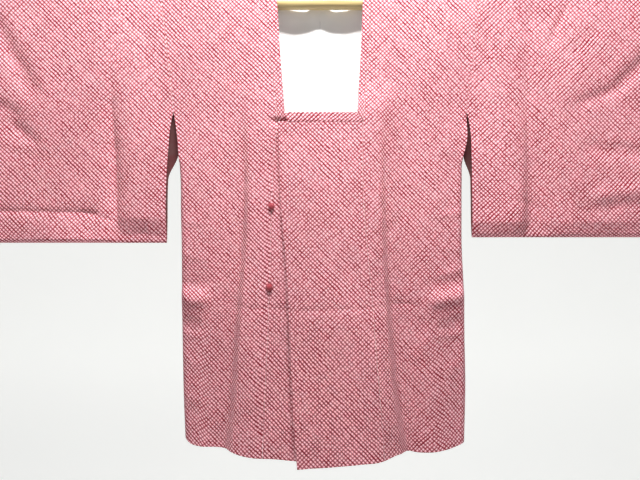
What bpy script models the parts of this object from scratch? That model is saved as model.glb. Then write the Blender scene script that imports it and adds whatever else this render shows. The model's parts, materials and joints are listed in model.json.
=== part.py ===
"""A michiyuki coat of tie-dyed silk with a square neck, hung flat on a round rod through its sleeves.

Metres, +Z up, +X towards the wearer's left side (the lapped-over front), -Y out of the coat's front.
The origin is the middle of the rod. Every cloth piece is a wall: a grid of points on its outer face,
worked out from the tables below, and the same grid moved inwards by the thickness of the cloth.
"""

import math
from collections import namedtuple

import bpy
import numpy as np

# Driving dimensions
ROD_RADIUS = 0.0125
ROD_LENGTH = 1.42
ROD_SIDES = 24
CLOTH = 0.002  # silk crepe and its lining together
LINING = 0.001
BAND_CLOTH = 0.003  # the neckband is folded double
SEAM_GAP = 0.0003
MITRE_GAP = 0.0005
SHOULDER_RADIUS = ROD_RADIUS + 0.0006 + CLOTH  # outer face of the cloth where it goes over the rod
NECK_DEPTH = 0.2189  # from the rod's axis down to the lower edge of the square neck
BAND_WIDTH = 0.0175  # neckband along the lower edge of the neck
BAND_FOOT = NECK_DEPTH + BAND_WIDTH
ARMHOLE_DEPTH = 0.2126
VENT_FOOT = 0.318  # below the armhole the side of the body stays open down to here
BACK_NECK_DROP = 0.03  # the back neck seam is this far below the rod's axis
BACK_HEM = -0.8565  # height of the hem at the middle of the back
BACK_BAND_TOP = 0.0065
LINING_TOP = 0.010
SLEEVE_END = 0.655  # from the middle of the back to the cuff
CUFF_OPENING = 0.23
SLEEVE_CORNER = 0.025  # radius of the sleeve's lower outer corner
SLEEVE_ROUND = 0.0085  # how far in from its seams a sleeve rounds off
PLEAT_APPROACH = 0.022
BUTTON_RADIUS = 0.0065
BUTTON_HEIGHT = 0.0072
BUTTON_HEIGHTS = (-0.397, -0.5425)

# The lines of each side of the body: distances from the middle at heights below the rod, and the height of
# the hem at distances from the middle. Past the middle, out to the front band's free edge, they are negative.
Line = namedtuple("Line", "heights distances")
Hem = namedtuple("Hem", "distances heights")
Side = namedtuple(
    "Side", "sign edge back_edge pleat pleat_rise fold band_seam free_edge furi sleeve_bottom hem neck_edge band_end"
    " press press_rise turned turned_height",
)

LEFT = Side(
    sign=1,
    edge=Line(
        (
            0.0, -0.07, -0.14, -0.2126, -0.2364, -0.26, -0.30, -0.35, -0.41, -0.464, -0.57, -0.66,
            -0.74, -0.8582,
        ),
        (
            0.3095, 0.3030, 0.2945, 0.2866, 0.2852, 0.2832, 0.2800, 0.2780, 0.2777, 0.2777, 0.2823,
            0.2834, 0.2850, 0.2825,
        ),
    ),
    back_edge=Line((-0.2126, -0.240, -0.262, -0.285, -0.305, -0.318), (0.0, 0.0020, 0.0040, 0.0042, 0.0030, 0.0)),
    pleat=Line(
        (0.0, -0.27, -0.443, -0.536, -0.629, -0.72, -0.775, -0.845, -0.87),
        (0.128, 0.1213, 0.1222, 0.1253, 0.1293, 0.1345, 0.1410, 0.1520, 0.1550),
    ),
    pleat_rise=Line((-0.18, -0.30, -0.40, -0.50, -0.65, -0.88), (0.0, 0.0026, 0.0046, 0.0052, 0.0060, 0.0072)),
    fold=(-0.34, -0.46),
    band_seam=Line(
        (0.0, -0.0856, -0.1487, -BAND_FOOT, -0.38, -0.473, -0.566, -0.651, -0.742, -0.863),
        (0.1000, 0.0962, 0.0902, 0.0830, 0.0824, 0.0894, 0.0985, 0.1047, 0.1122, 0.1210),
    ),
    free_edge=Line(
        (-0.22, -0.317, -0.403, -0.504, -0.611, -0.687, -0.763, -0.8582),
        (-0.0810, -0.0782, -0.0742, -0.0644, -0.0584, -0.0544, -0.0505, -0.0427),
    ),
    furi=Line((-0.2126, -0.2364, -0.30, -0.354, -0.459), (0.2868, 0.2920, 0.2955, 0.2964, 0.2978)),
    sleeve_bottom=-0.459,
    hem=Hem(
        (-0.0427, -0.0278, 0.0185, 0.0745, 0.121, 0.1317, 0.1461, 0.1605, 0.1921, 0.2217, 0.2523, 0.2825),
        (
            -0.8918, -0.8906, -0.8872, -0.8818, -0.8759, -0.8723, -0.8680, -0.8680, -0.8749,
            -0.8746, -0.8686, -0.8582,
        ),
    ),
    neck_edge=Line((0.0, -0.10, -NECK_DEPTH), (0.0832, 0.0790, 0.0716)),
    band_end=-0.064,
    press=Line((0.0, -0.1019, -0.2200, -0.3555, -0.4329), (0.4118, 0.3998, 0.3959, 0.3959, 0.3918)),
    press_rise=Line((0.0, -0.10, -0.20, -0.30, -0.46), (0.0018, 0.0012, 0.0009, 0.0017, 0.0020)),
    turned=Line((0.285, 0.41, 0.43, 0.60, 0.65), (0.0085, 0.0085, 0.0065, 0.0080, 0.0010)),
    turned_height=0.031,
)
RIGHT = Side(
    sign=-1,
    edge=Line(
        (
            0.0, -0.07, -0.14, -0.2126, -0.2364, -0.26, -0.30, -0.35, -0.41, -0.464, -0.58, -0.70,
            -0.78, -0.8503,
        ),
        (
            0.3085, 0.3005, 0.2930, 0.2864, 0.2830, 0.2798, 0.2764, 0.2734, 0.2728, 0.2715, 0.2707,
            0.2687, 0.2668, 0.2638,
        ),
    ),
    back_edge=Line((-0.2126, -0.250, -0.290, -0.318), (0.0, 0.0006, 0.0006, 0.0)),
    pleat=Line(
        (0.0, -0.237, -0.339, -0.425, -0.536, -0.613, -0.682, -0.753, -0.853),
        (0.150, 0.1445, 0.1420, 0.1438, 0.1508, 0.1570, 0.1615, 0.1667, 0.1767),
    ),
    pleat_rise=Line((-0.15, -0.24, -0.36, -0.50, -0.65, -0.88), (0.0, 0.0014, 0.0036, 0.0044, 0.0052, 0.0058)),
    fold=(-0.26, -0.38),
    band_seam=Line(
        (0.0, -0.0856, -0.1487, -BAND_FOOT, -0.30, -0.410, -0.504, -0.651, -0.743, -0.856),
        (0.1035, 0.0990, 0.0925, 0.0830, 0.0885, 0.0932, 0.0954, 0.1002, 0.1046, 0.1089),
    ),
    free_edge=Line((-0.22, -0.50, -0.8503), (-0.0740, -0.0680, -0.0550)),
    furi=Line((-0.2126, -0.2364, -0.297, -0.354, -0.4698), (0.2866, 0.2915, 0.2964, 0.2997, 0.3005)),
    sleeve_bottom=-0.4698,
    hem=Hem(
        (-0.055, 0.0, 0.0524, 0.0843, 0.1089, 0.1223, 0.1513, 0.1767, 0.2022, 0.2323, 0.2530, 0.2638),
        (
            -0.880, -0.880, -0.8785, -0.8763, -0.8762, -0.8761, -0.8724, -0.8658, -0.8644, -0.8646,
            -0.8590, -0.8503,
        ),
    ),
    neck_edge=Line((0.0, -0.10, -NECK_DEPTH), (0.0834, 0.0770, 0.0680)),
    band_end=-0.0735,
    press=Line((0.0, -0.124, -0.20, -0.25, -0.40, -0.47), (0.4100, 0.4080, 0.4000, 0.3945, 0.3930, 0.3925)),
    press_rise=Line((0.0, -0.15, -0.21, -0.30, -0.47), (0.0009, 0.0007, 0.0021, 0.0024, 0.0022)),
    turned=Line((0.285, 0.385, 0.398, 0.60, 0.65), (0.0098, 0.0092, 0.0030, 0.0034, 0.0010)),
    turned_height=0.050,
)

# How far the cloth stands out from the plane of the rod, at heights below it.
FRONT_MIDDLE = Line(
    (0.0, -0.10, -0.236, -0.35, -0.45, -0.576, -0.70, -0.80, -0.89),
    (SHOULDER_RADIUS, 0.0185, 0.0265, 0.032, 0.038, 0.048, 0.058, 0.066, 0.070),
)
BACK_MIDDLE = Line(
    (0.0, -0.03, -0.10, -0.22, -0.50, -0.86),
    (SHOULDER_RADIUS, 0.0165, 0.018, 0.020, 0.023, 0.026),
)
SIDE_ROUND = Line(
    (0.0, -0.10, -0.18, -0.2126, -0.26, -0.32, -0.45, -0.87),
    (SHOULDER_RADIUS, 0.0115, 0.0062, 0.0044, 0.0062, 0.0095, 0.012, 0.014),
)
SLEEVE_BULGE = Line((0.0, -0.10, -0.25, -0.38, -0.47), (SHOULDER_RADIUS, 0.0145, 0.0140, 0.0135, 0.0130))
PLEAT_TUCK = Line((-0.37, -0.45, -0.576, -0.70, -0.80, -0.88), (0.005, 0.008, 0.013, 0.020, 0.028, 0.034))

# Folds: from one point of the front view to another, how wide, and how far out or in (-). Soft ones are bell
# curves across their line, and pressed ones come to an edge.
Crease = namedtuple("Crease", "x0 z0 x1 z1 width rise")
BODY_CREASES = (
    Crease(0.050, -0.500, 0.095, -0.560, 0.0240, -0.0016),
    Crease(-0.205, -0.640, -0.218, -0.850, 0.018, 0.0014),
    Crease(0.205, -0.650, 0.222, -0.850, 0.018, 0.0014),
)
BODY_PRESSES = (
    Crease(-0.29, -0.5797, -0.232, -0.5825, 0.0085, 0.0042),
    Crease(0.29, -0.5812, 0.228, -0.5840, 0.0095, 0.0042),
    Crease(-0.15, -0.5835, 0.17, -0.5845, 0.0055, -0.0011),
)
SLEEVE_CREASES = {
    1: (
        Crease(0.515, -0.371, 0.622, -0.3434, 0.018, 0.0030),
        Crease(0.340, -0.030, 0.318, -0.150, 0.016, -0.0013),
    ),
    -1: (
        Crease(-0.640, -0.020, -0.5635, -0.1239, 0.016, -0.0020),
        Crease(-0.660, -0.150, -0.605, -0.198, 0.016, -0.0038),
        Crease(-0.375, -0.285, -0.385, -0.365, 0.015, -0.0022),
    ),
}
SLEEVE_PRESSES = {
    1: (
        Crease(0.5285, -0.1783, 0.5770, -0.1433, 0.016, -0.0024),
        Crease(0.5770, -0.1433, 0.6400, -0.0600, 0.016, -0.0032),
    ),
    -1: (Crease(-0.66, -0.4070, -0.412, -0.4130, 0.0100, -0.0034),),
}

# A pleat's section, from the cloth in front of it to the cloth behind it. out and rise are its shape where
# it is a soft step, folded_out, tucks and folded_rise where the cloth doubles back on itself.
PleatPoint = namedtuple("PleatPoint", "out rise folded_out tucks folded_rise")
PLEAT = (
    PleatPoint(-PLEAT_APPROACH, 1.00, -PLEAT_APPROACH, 0, 1.00),
    PleatPoint(-0.0120, 0.92, -0.0035, 0, 1.00),
    PleatPoint(-0.0060, 0.62, -0.0005, 0, 0.65),
    PleatPoint(-0.0020, 0.22, -0.0005, 0, -0.05),
    PleatPoint(0.0020, -0.22, -0.0035, 0, -0.40),
    PleatPoint(0.0050, -0.52, 0.0, 1, -0.40),
    PleatPoint(0.0080, -0.75, -0.0015, 1, -0.70),
    PleatPoint(0.0110, -0.92, 0.0, 1, -1.00),
    PleatPoint(0.0200, -1.00, 0.0200, 0, -1.00),
)

# Rows and columns of the grids
FRONT_HEIGHTS = (
    0.0, -0.03, -0.07, -0.105, -0.14, -0.175, -ARMHOLE_DEPTH, -BAND_FOOT, -0.26, -0.29, -VENT_FOOT, -0.36,
    -0.405, -0.45, -0.49, -0.53, -0.565, -0.582, -0.600, -0.63, -0.67, -0.71, -0.75, -0.79, -0.825,
)
BACK_HEIGHTS = (
    0.0, -BACK_NECK_DROP, -0.07, -0.105, -0.14, -0.175, -ARMHOLE_DEPTH, -BAND_FOOT, -0.26, -0.29, -VENT_FOOT,
    -0.41, -0.49, -0.57, -0.65, -0.73, -0.81,
)
ROUNDING = np.radians((30.0, 60.0, 90.0))[None, :]
ARC_STEPS = 8
SEAM_STEPS, SIDE_STEPS, NECK_STEPS = 3, 5, 3
NECK_HEIGHTS = (-BACK_NECK_DROP + SEAM_GAP, -0.02, -LINING_TOP, -BACK_BAND_TOP)
LINING_MARGIN = 5  # columns of the body beside its side seam that the lining stops short of
PRESS_COLUMNS = np.array((0.0, 0.20, 0.50, 0.84))  # from a sleeve's inner edge to its pressed fold
CUFF_COLUMNS = np.array((0.0, 0.07, 0.20, 0.34, 0.48, 0.62, 0.76, 0.90, 1.0))  # and from there to its cuff
SLEEVE_RISES = (0.0155, SLEEVE_CORNER, 0.042, 0.0608, 0.095, 0.14, 0.185)
SLEEVE_HEIGHTS = (-CUFF_OPENING,) + FRONT_HEIGHTS[6::-1]


def along(line, at):
    """A smooth curve through a table: cubic pieces whose slope at each row is that of its neighbours."""
    knots, values = (np.asarray(column, float) for column in line)
    if knots[0] > knots[-1]:
        knots, values = knots[::-1], values[::-1]
    slopes = np.gradient(values, knots)
    at = np.clip(at, knots[0], knots[-1])
    i = np.clip(np.searchsorted(knots, at, side="right") - 1, 0, len(knots) - 2)
    span = knots[i + 1] - knots[i]
    t = (at - knots[i]) / span
    rise = values[i + 1] - values[i]
    start, end = slopes[i] * span, slopes[i + 1] * span
    return values[i] + t * start + t**2 * (3 * rise - 2 * start - end) + t**3 * (start + end - 2 * rise)


def ramp(at, start, end):
    """0 at start, 1 at end, with an S-shaped curve between."""
    t = np.clip((at - start) / (end - start), 0, 1)
    return t * t * (3 - 2 * t)


def shares(start, end, count):
    return start + (end - start) * np.linspace(0, 1, count)[None, :]


def column(heights):
    return np.array(heights)[:, None]


def pressed(across, width):
    """1 on a pressed fold's line, falling to both sides from a slightly rounded edge."""
    return np.exp(-(np.sqrt(across**2 + 0.0008**2) - 0.0008) / (0.75 * width))


def soft(across, width):
    return np.exp(-((across / width) ** 2))


def crease_rise(creases, x, z, profile=soft):
    """The sum of ridges and troughs, each with a profile across its line, that fade past its ends."""
    total = np.zeros(np.broadcast(x, z).shape)
    for c in creases:
        dx, dz = c.x1 - c.x0, c.z1 - c.z0
        length = math.hypot(dx, dz)
        lengthwise = ((x - c.x0) * dx + (z - c.z0) * dz) / length
        beyond = np.maximum(0, np.maximum(-lengthwise, lengthwise - length))
        across = ((x - c.x0) * dz - (z - c.z0) * dx) / length
        total = total + c.rise * profile(across, c.width) * np.exp(-((beyond / (2 * c.width + 0.006)) ** 2))
    return total


def fullness(side, out, z):
    """1 over the middle of the body and 0 where its rounded side begins."""
    reach = along(side.edge, z) - along(SIDE_ROUND, z)
    share = np.clip(np.abs(out) / reach, 0, 1)
    return (1 - share**2) ** 1.2


def pleat_depth(side, z):
    """Half the step between the cloth in front of a pleat and the cloth behind it."""
    return along(side.pleat_rise, z)


def lap(out, z):
    """How far the lapped-over front stands clear of the one beneath it."""
    return (0.008 + 0.003 * ramp(z, -0.30, -0.88)) * ramp(z, -0.15, -NECK_DEPTH) * ramp(out, 0.165, 0.095)


def front_depth(side, out, z):
    """Depth of one side's front without its pleat. out is the distance from the middle, negative past it."""
    low, full = along(SIDE_ROUND, z), along(FRONT_MIDDLE, z)
    depth = low + (full - low) * fullness(side, out, z)
    if side is LEFT:
        depth = depth + lap(out, z)
    x = side.sign * out
    return depth + crease_rise(BODY_CREASES, x, z) + crease_rise(BODY_PRESSES, x, z, pressed)


def inner_swell(side, out, z):
    """The cloth in front of a pleat stands out, and settles back towards the middle."""
    away = np.maximum(0, along(side.pleat, z) - PLEAT_APPROACH - out)
    return pleat_depth(side, z) * np.exp(-((away / 0.05) ** 2))


def band_depth(side, out, z):
    """Depth of a front band or neckband, which is one surface with the body panel that it is sewn to."""
    return front_depth(side, out, z) + inner_swell(side, out, z)


def back_depth(side, out, z):
    """Depth of the back behind the rod: the neck leans away from it, and soft folds grow towards the hem."""
    low, full = along(SIDE_ROUND, z), along(BACK_MIDDLE, z)
    share = fullness(side, out, z)
    neck = 0.009 * np.clip(1 - (out / 0.088) ** 2, 0, 1) * ramp(z, -0.09, -0.008)
    folds = 0.0035 * np.cos(out * 36 + 0.6 * side.sign) * ramp(z, -0.35, -0.80)
    return low + (full - low + folds) * share + neck


def pleat_section(side, z):
    """Distances from the middle and rises of a pleat's points, a row for each height."""
    folded = ramp(z, *side.fold)
    tuck = along(PLEAT_TUCK, z)
    point = PleatPoint(*(np.array(values)[None, :] for values in zip(*PLEAT)))
    doubled = point.folded_out - tuck * point.tucks
    out = along(side.pleat, z) + point.out + (doubled - point.out) * folded
    rise = point.rise + (point.folded_rise - point.rise) * folded
    return out, pleat_depth(side, z) * rise


def sunk(side, out, z):
    """Rows sink towards the hem line, which is lowest at the middle of the front."""
    level = side.edge.heights[-1]
    return z + (along(side.hem, out) - level) * ramp(z, -0.30, level)


def back_sunk(side, out, z):
    """Back rows run from the foot of the side seam to one hem level at the middle."""
    level = side.edge.heights[-1]
    return z + (BACK_HEM - level) * ramp(z, -0.30, level) * (1 - ramp(out, 0, along(side.edge, level)))


def front_points(side, out, depth, z):
    return np.stack((side.sign * out, -depth, sunk(side, out, z)), axis=-1)


def close_side(side, start, depth, z, beyond=0.0):
    """Carries a section round the side to the seam, or leaves it open above the foot of the side vent."""
    closed = ramp(z, 0.033 - VENT_FOOT, -VENT_FOOT) ** 4
    out = start + (along(SIDE_ROUND, z) + beyond) * np.sin(ROUNDING)
    depth = depth * (1 - closed * (1 - np.cos(ROUNDING)))
    return out, np.maximum(depth, closed * SEAM_GAP / 2)


def body_front(side):
    """Front rows of one body panel, hem first, from its band seam across the pleat and round to the side."""
    z = column((side.edge.heights[-1],) + FRONT_HEIGHTS[::-1])
    seam = along(side.band_seam, z) + SEAM_GAP / 2
    pleat_out, pleat_rise = pleat_section(side, z)
    inner_out = shares(seam, pleat_out[:, :1], SEAM_STEPS)[:, :-1]
    side_start = along(side.edge, z) - along(SIDE_ROUND, z)
    outer_out = shares(pleat_out[:, -1:], side_start, SIDE_STEPS)[:, 1:]
    past = outer_out - pleat_out[:, -1:]
    beside = np.clip((side_start - outer_out) / 0.03, 0, 1)
    outer_rise = -pleat_depth(side, z) * np.exp(-((past / 0.045) ** 2)) * beside
    out = np.hstack((inner_out, pleat_out, outer_out))
    rise = np.hstack((inner_swell(side, inner_out, z), pleat_rise, outer_rise))
    depth = front_depth(side, out, z) + rise
    round_out, round_depth = close_side(side, out[:, -1:], depth[:, -1:], z)
    return front_points(side, np.hstack((out, round_out)), np.hstack((depth, round_depth)), z)


def body_back(side, spread):
    """Back rows of one body panel, from the middle of the back. spread places its columns past the neck."""
    z = column(BACK_HEIGHTS + (side.edge.heights[-1],))
    beside_neck = along(side.band_seam, 0.0) + SEAM_GAP / 2
    side_start = along(side.edge, z) - along(SIDE_ROUND, z)
    neck_out = shares(SEAM_GAP / 2, beside_neck, NECK_STEPS + 1)[:, :-1] + 0 * z
    out = np.hstack((neck_out, beside_neck + (side_start - beside_neck) * spread))
    depth = back_depth(side, out, z)
    beyond = np.where(z < -ARMHOLE_DEPTH, along(side.back_edge, z), 0)
    round_out, round_depth = close_side(side, out[:, -1:], depth[:, -1:], z, beyond)
    out, depth = np.hstack((out, round_out)), np.hstack((depth, round_depth))
    return np.stack((side.sign * out, depth, back_sunk(side, out, z)), axis=-1)


def over_rod(front_x, back_x, radius):
    """Rows that carry columns over the rod, from straight in front of it to straight behind it."""
    turn = np.linspace(0, math.pi, ARC_STEPS + 1)[:, None]
    x = front_x + (back_x - front_x) * turn / math.pi
    return np.stack((x, -radius * np.cos(turn) + 0 * x, radius * np.sin(turn) + 0 * x), axis=-1)


def body_grid(side):
    """One length of cloth from the front hem over the shoulder to the back hem, and which cells exist."""
    front = body_front(side)
    spread = (front[-1, :-3, 0] - front[-1, 0, 0]) / (front[-1, -4, 0] - front[-1, 0, 0])
    back = body_back(side, spread[None, :])
    arc = over_rod(front[-1:, :, 0], front[-1:, :, 0], SHOULDER_RADIUS)
    before_back = len(front) - 1 + len(arc)
    neck = np.repeat(np.concatenate((front[:-1], arc))[:, :1], NECK_STEPS, axis=1)
    shoulder = np.concatenate((front[:-1], arc, back[1:, NECK_STEPS:]))
    grid = np.concatenate((np.concatenate((neck, back[1:, :NECK_STEPS])), shoulder), axis=1)
    cells = np.ones((grid.shape[0] - 1, grid.shape[1] - 1), bool)
    cells[:before_back, :NECK_STEPS] = False
    return grid, cells


def front_band(side):
    """A straight panel from the neckband to the hem, between its seam and its free edge."""
    z = column((-BAND_FOOT - SEAM_GAP,) + FRONT_HEIGHTS[8:] + (side.edge.heights[-1],))
    out = shares(along(side.band_seam, z) - SEAM_GAP / 2, along(side.free_edge, z), 7)
    return front_points(side, out, band_depth(side, out, z), z)


def neckband_run(side):
    """The part of the neckband along the top of a front band, cut at 45 degrees at the neck's corner."""
    share = column(np.linspace(0, 1, 4))
    inside, outside = along(side.neck_edge, -NECK_DEPTH), along(side.band_seam, -BAND_FOOT)
    start = inside + (outside - inside) * share - MITRE_GAP
    out = shares(start, side.band_end, 7)
    z = -NECK_DEPTH - BAND_WIDTH * share + 0 * out
    depth = band_depth(side, out, z) + BAND_CLOTH - CLOTH
    return np.stack((side.sign * out, -depth, z), axis=-1)


def neckband_side(side):
    """The part of the neckband beside the neck, from its mitred foot over the rod to the back neck."""
    outer_z = column(FRONT_HEIGHTS[7::-1])
    foot = np.clip((outer_z + 0.14) / (0.14 - BAND_FOOT), 0, 1)
    share = shares(0, 1, 4)
    z = outer_z + BAND_WIDTH * foot * (1 - share)
    inside, outside = along(side.neck_edge, z[:, :1]), along(side.band_seam, outer_z) - SEAM_GAP / 2
    out = inside + (outside - inside) * share
    depth = band_depth(side, out, z) + BAND_CLOTH - CLOTH
    front = np.stack((side.sign * out, -depth, z), axis=-1)
    arc = over_rod(front[-1:, :, 0], front[-1:, :, 0], SHOULDER_RADIUS + BAND_CLOTH - CLOTH)
    end = arc[-1:] - np.array((0, 0, BACK_BAND_TOP - SEAM_GAP))
    return np.concatenate((front[:-1], arc, end))


def neckband_back():
    """The part of the neckband behind the neck, standing on the back neck seam."""
    halves = []
    z = column(NECK_HEIGHTS)
    for side in (RIGHT, LEFT):
        out = shares(0.0, along(side.band_seam, 0.0), NECK_STEPS + 1)
        depth = back_depth(side, out, z) + BAND_CLOTH - CLOTH
        halves.append(np.stack((side.sign * out + 0 * z, depth, z + 0 * out), axis=-1))
    return np.concatenate((halves[0][:, ::-1], halves[1][:, 1:]), axis=1)


def back_lining(side):
    """White silk just inside half the back: its points moved in, and carried up behind the neck."""
    grid, cells = body_grid(side)
    inside = grid - (CLOTH + SEAM_GAP) * outward(grid, cells, side is LEFT, body_seams(grid))
    back = inside[-len(BACK_HEIGHTS):-2, :-LINING_MARGIN]
    top = np.repeat(back[:1], 2, axis=0)
    top[..., 2] = column((-LINING_TOP, NECK_HEIGHTS[1]))
    top[..., 1] = back_depth(side, np.abs(top[..., 0]), top[..., 2]) - CLOTH - 2 * SEAM_GAP
    grid = np.concatenate((top, back))
    cells = np.ones((grid.shape[0] - 1, grid.shape[1] - 1), bool)
    cells[:2, NECK_STEPS:] = False
    return grid, cells


def sleeve_edge(side, z):
    """Distance of a sleeve's outer edge from the middle: upright at the cuff, round at its lower corner."""
    below = np.clip(side.sleeve_bottom + SLEEVE_CORNER - z, 0, SLEEVE_CORNER)
    return SLEEVE_END - SLEEVE_CORNER + np.sqrt(SLEEVE_CORNER**2 - below**2)


def sleeve_cap(side, out, z):
    """1 inside a sleeve's outline, falling as a quarter circle to 0 at its seams below the cuff."""
    from_corner = np.hypot(out - SLEEVE_END + SLEEVE_CORNER, z - side.sleeve_bottom - SLEEVE_CORNER)
    in_corner = (out > SLEEVE_END - SLEEVE_CORNER) & (z < side.sleeve_bottom + SLEEVE_CORNER)
    to_edge = np.minimum(SLEEVE_END - out, z - side.sleeve_bottom)
    to_edge = np.where(in_corner, SLEEVE_CORNER - from_corner, to_edge)
    share = 1 - np.clip(to_edge / SLEEVE_ROUND, 0, 1)
    closed = ramp(z, -CUFF_OPENING + 0.04, -CUFF_OPENING) ** 4
    return 1 - closed * (1 - np.sqrt(1 - share**2))


def sleeve_grid(side):
    """One length of cloth from the foot of the sleeve's front over the rod to the foot of its back.

    Towards its foot the cloth turns under, and below the armhole its back reaches nearer to the body.
    """
    round_heights = side.sleeve_bottom + SLEEVE_ROUND * (1 - np.sin(np.radians((90.0, 60.0, 30.0, 0.0))))
    z = column((*round_heights, *(side.sleeve_bottom + np.array(SLEEVE_RISES)), *SLEEVE_HEIGHTS))
    seamed = z > -ARMHOLE_DEPTH - 1e-6
    inner = np.where(seamed, along(side.edge, z), along(side.furi, z)) + SEAM_GAP
    reach = np.maximum(inner - along(side.edge, z) - along(side.back_edge, z) - 0.0005, 0)
    rear_inner = inner - np.where(seamed, 0, reach * ramp(z, -0.315, -0.235))
    front = sleeve_wall(side, sleeve_columns(side, inner, z), z, -1)
    back = sleeve_wall(side, sleeve_columns(side, rear_inner, z), z, 1)
    arc = over_rod(front[-1:, :, 0], back[-1:, :, 0], SHOULDER_RADIUS)
    return np.concatenate((front[:-1], arc, back[-2::-1]))


def sleeve_columns(side, inner, z):
    """Distances from the middle, in rows from a sleeve's inner edge over its pressed fold to its cuff."""
    press, edge = along(side.press, z), sleeve_edge(side, z)
    return np.hstack((
        inner + (press - inner) * PRESS_COLUMNS,
        press + (edge - SLEEVE_ROUND - press) * CUFF_COLUMNS,
        edge - SLEEVE_ROUND * (1 - np.sin(ROUNDING)),
    ))


def sleeve_wall(side, out, z, way):
    """Front (way -1) or back (way 1) of a sleeve: its bulge less the pinch at the body, and its folds."""
    z = z + 0 * out
    beside = out - along(side.edge, np.maximum(z, -ARMHOLE_DEPTH))
    full = along(SLEEVE_BULGE, z)
    pinch = along(SIDE_ROUND, np.maximum(z, -ARMHOLE_DEPTH)) + 0.006 * ramp(z, -ARMHOLE_DEPTH, -0.33)
    depth = full + (np.minimum(pinch, full) - full) * np.exp(-((beside / 0.045) ** 2))
    settle = ramp(z, 0.0, -0.03) * np.clip(beside / 0.02, 0.15, 1)
    x = side.sign * out
    folds = crease_rise(SLEEVE_CREASES[side.sign], x, z)
    folds = folds + crease_rise(SLEEVE_PRESSES[side.sign], x, z, pressed)
    folds = folds - along(side.press_rise, z) * pressed(out - along(side.press, z), 0.010)
    under = np.clip((side.sleeve_bottom + side.turned_height - z) / side.turned_height, 0, 1)
    under = along(side.turned, out) * (np.sqrt((under - 0.02) ** 2 + 0.003) + under - 0.055) / 2
    share = 1.0 if way < 0 else 0.6
    depth = np.maximum(depth + settle * share * folds - share * under, 0.0052 * ramp(z, -0.36, -0.42))
    depth = depth * sleeve_cap(side, out, z)
    return np.stack((x, way * np.maximum(depth, SEAM_GAP / 2), z), axis=-1)


def open_step(grid, cells):
    """At each point, the step to the next column, one-sided where the cell on the other side is missing."""
    here = np.pad(cells, ((0, 1), (1, 1))) | np.pad(cells, ((1, 0), (1, 1)))
    before = np.concatenate((grid[:, :1], grid[:, :-1]), 1)
    after = np.concatenate((grid[:, 1:], grid[:, -1:]), 1)
    return np.where(here[:, 1:, None], after, grid) - np.where(here[:, :-1, None], before, grid)


def outward(grid, cells, flip, seams):
    """Unit normals. seams maps rows and columns to the axis that their edge is cut square to."""
    ahead = np.roll(grid, -1, 0) - np.roll(grid, 1, 0)
    ahead[0], ahead[-1] = grid[1] - grid[0], grid[-1] - grid[-2]
    normal = np.cross(ahead, open_step(grid, cells))
    if flip:
        normal = -normal
    for rows, columns, axis in seams:
        normal[rows, columns, axis] = 0
    length = np.linalg.norm(normal, axis=-1, keepdims=True)
    corner = length[:, 1:] < 1e-10
    normal[:, 1:] = np.where(corner, normal[:, :-1], normal[:, 1:])
    length[:, 1:] = np.where(corner, length[:, :-1], length[:, 1:])
    return normal / np.maximum(length, 1e-10)


def wall_mesh(name, grid, cells, thickness, flip=False, facing=None, seams=(), turned=None):
    """A wall: the grid's cells as the outer face, the same moved inwards, and strips along every free edge.

    Each cell is two triangles. Where turned is true they meet along the cell's other diagonal.
    """
    rows, cols = grid.shape[:2]
    normal = np.array(facing, float) if facing else outward(grid, cells, flip, seams)
    points = np.concatenate((grid.reshape(-1, 3), (grid - thickness * normal).reshape(-1, 3)))
    count = rows * cols
    outer, inner = [], []
    for i, j in zip(*np.nonzero(cells)):
        a, b = int(i * cols + j), int((i + 1) * cols + j)
        halves = ((a, b, b + 1), (a, b + 1, a + 1))
        if turned is not None and turned[i, j]:
            halves = ((a, b, a + 1), (a + 1, b, b + 1))
        for face in halves:
            face = face[::-1] if flip else face
            outer.append(face)
            inner.append(tuple(v + count for v in reversed(face)))
    edges = {pair for face in outer for pair in zip(face, face[1:] + face[:1])}
    strips = [(b, a, a + count, b + count) for a, b in sorted(edges) if (b, a) not in edges]
    faces = outer + inner + strips
    used = sorted({v for face in faces for v in face})
    place = {v: n for n, v in enumerate(used)}
    mesh = bpy.data.meshes.new(name)
    mesh.from_pydata(points[used].tolist(), [], [tuple(place[v] for v in face) for face in faces])
    return mesh


def make_material(name, colour, roughness):
    material = bpy.data.materials.new(name)
    material.use_nodes = True
    shader = material.node_tree.nodes["Principled BSDF"]
    shader.inputs["Base Color"].default_value = (*colour, 1.0)
    shader.inputs["Roughness"].default_value = roughness
    shader.inputs["Metallic"].default_value = 0.0
    return material


def add_piece(name, mesh, material):
    piece = bpy.data.objects.new(name, mesh)
    piece.data.materials.append(material)
    bpy.context.scene.collection.objects.link(piece)
    mesh.shade_smooth()
    mesh.set_sharp_from_angle(angle=math.radians(40))
    return piece


def add_rod(material):
    """A plain round rod along X with flat ends."""
    turn = np.linspace(0, 2 * math.pi, ROD_SIDES, endpoint=False)
    ring = np.stack((0 * turn, ROD_RADIUS * np.cos(turn), ROD_RADIUS * np.sin(turn)), axis=-1)
    half = np.array((ROD_LENGTH / 2, 0, 0))
    n = ROD_SIDES
    faces = [(i, (i + 1) % n, (i + 1) % n + n, i + n) for i in range(n)]
    faces += [tuple(range(n - 1, -1, -1)), tuple(range(n, 2 * n))]
    mesh = bpy.data.meshes.new("hanging_rod")
    mesh.from_pydata(np.concatenate((ring - half, ring + half)).tolist(), [], faces)
    add_piece("hanging_rod", mesh, material)


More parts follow.
